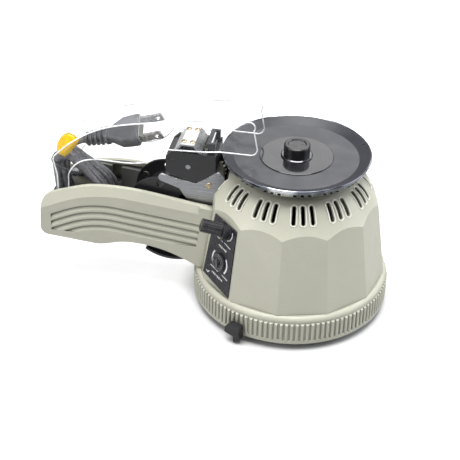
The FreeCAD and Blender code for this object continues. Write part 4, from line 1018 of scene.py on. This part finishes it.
def floor():
    """Pale floor that glows to the camera alone, except close under the object, where its glow dims
    into a painted shadow.
    """
    bm = bmesh.new()
    bmesh.ops.create_grid(bm, x_segments=1, y_segments=1, size=FLOOR_HALF)
    mesh = bpy.data.meshes.new("floor")
    bm.to_mesh(mesh)
    bm.free()
    look = Look("floor_paper", (0.45, 0.45, 0.45), 0.9, Specular_IOR_Level=0.05)
    look.mottled(0.5, (0.43, 0.43, 0.435), 0.5)
    look.shader.inputs["Emission Color"].default_value = (1, 1, 1, 1)
    open_sky = look.add("ShaderNodeAmbientOcclusion", samples=8)
    open_sky.inputs["Distance"].default_value = SHADE_REACH
    glow = look.add("ShaderNodeMath", operation="MULTIPLY")
    look.put(look.add("ShaderNodeLightPath").outputs["Is Camera Ray"], glow.inputs[0])
    look.put(look.ranged(open_sky.outputs["AO"], 0.35, 0.85, 0.02, 0.72), glow.inputs[1])
    look.put(glow.outputs[0], look.shader.inputs["Emission Strength"])
    mesh.materials.append(look.mat)
    thing = bpy.data.objects.new("floor", mesh)
    thing.location.z = FLOOR_Z
    bpy.context.scene.collection.objects.link(thing)


def surroundings():
    """White surroundings that light the object less than the camera sees them."""
    world = bpy.data.worlds.new("studio")
    world.use_nodes = True
    tree = world.node_tree
    background = tree.nodes["Background"]
    background.inputs["Color"].default_value = (1.0, 1.0, 1.0, 1)
    path = tree.nodes.new("ShaderNodeLightPath")
    previous = None
    for output, strength in (("Is Diffuse Ray", WORLD_FOR_DIFFUSE),
                             ("Is Glossy Ray", WORLD_FOR_GLOSSY)):
        share = tree.nodes.new("ShaderNodeMix")
        tree.links.new(path.outputs[output], share.inputs["Factor"])
        share.inputs["A"].default_value = 1.0
        share.inputs["B"].default_value = strength
        if previous:
            tree.links.new(previous, share.inputs["A"])
        previous = share.outputs["Result"]
    tree.links.new(previous, background.inputs["Strength"])
    bpy.context.scene.world = world
    bpy.context.scene.view_settings.view_transform = "Standard"


def towards(azimuth, elevation):
    """The way from the object in degrees: azimuth 0 is in front, 90 on the right."""
    a, e = math.radians(azimuth), math.radians(elevation)
    return Vector((math.sin(a) * math.cos(e), -math.cos(a) * math.cos(e), math.sin(e)))


def soft_light(name, azimuth, elevation, distance, size, power, colour):
    """Soft box aimed at the body."""
    light = bpy.data.lights.new(name, "AREA")
    light.shape = "RECTANGLE"
    light.size, light.size_y = size
    light.energy = power
    light.color = colour
    back = towards(azimuth, elevation)
    thing = bpy.data.objects.new(name, light)
    thing.location = middle("body_shell") + back * distance
    thing.rotation_euler = (-back).to_track_quat("-Z", "Y").to_euler()
    bpy.context.scene.collection.objects.link(thing)


def camera():
    """Looks down at the front from a little to the right, rolled slightly."""
    azimuth, elevation, roll = 9.46, 34.24, math.radians(1.41)
    distance, lens = 0.81512, 103.85
    off_centre = Vector((0.00909, -0.00334, -0.01924))
    back = towards(azimuth, elevation)
    data = bpy.data.cameras.new("camera")
    data.lens = lens
    data.sensor_width = 36.0
    data.clip_start = 0.01
    aimed = (-back).to_track_quat("-Z", "Y")
    thing = bpy.data.objects.new("camera", data)
    thing.location = (CAD_BOX[0] + CAD_BOX[1]) / 2 + off_centre + back * distance
    thing.rotation_mode = "QUATERNION"
    thing.rotation_quaternion = aimed @ Matrix.Rotation(roll, 4, "Z").to_quaternion()
    bpy.context.scene.collection.objects.link(thing)
    bpy.context.scene.camera = thing


def main():
    finish_nodes()
    the_lead = lead()
    pieces = [plug_shell(), plug_face(), hank_tie(), label(), NODES["plug_blades"],
              NODES["cable_gland"]]
    tuple(beside_axis(*LEAD_ROUTE_MM[0]))
    cover_edges()
    vent_rims()
    panel_print()
    screw_heads("plate_screw_heads", "plate_screws", LOOKS["brass"], 1)
    screw_heads("rail_screw_heads", "rail_screws", EXTRA["screw"], -1)
    floor()
    surroundings()
    for light in LIGHTS:
        soft_light(*light)
    camera()


main()
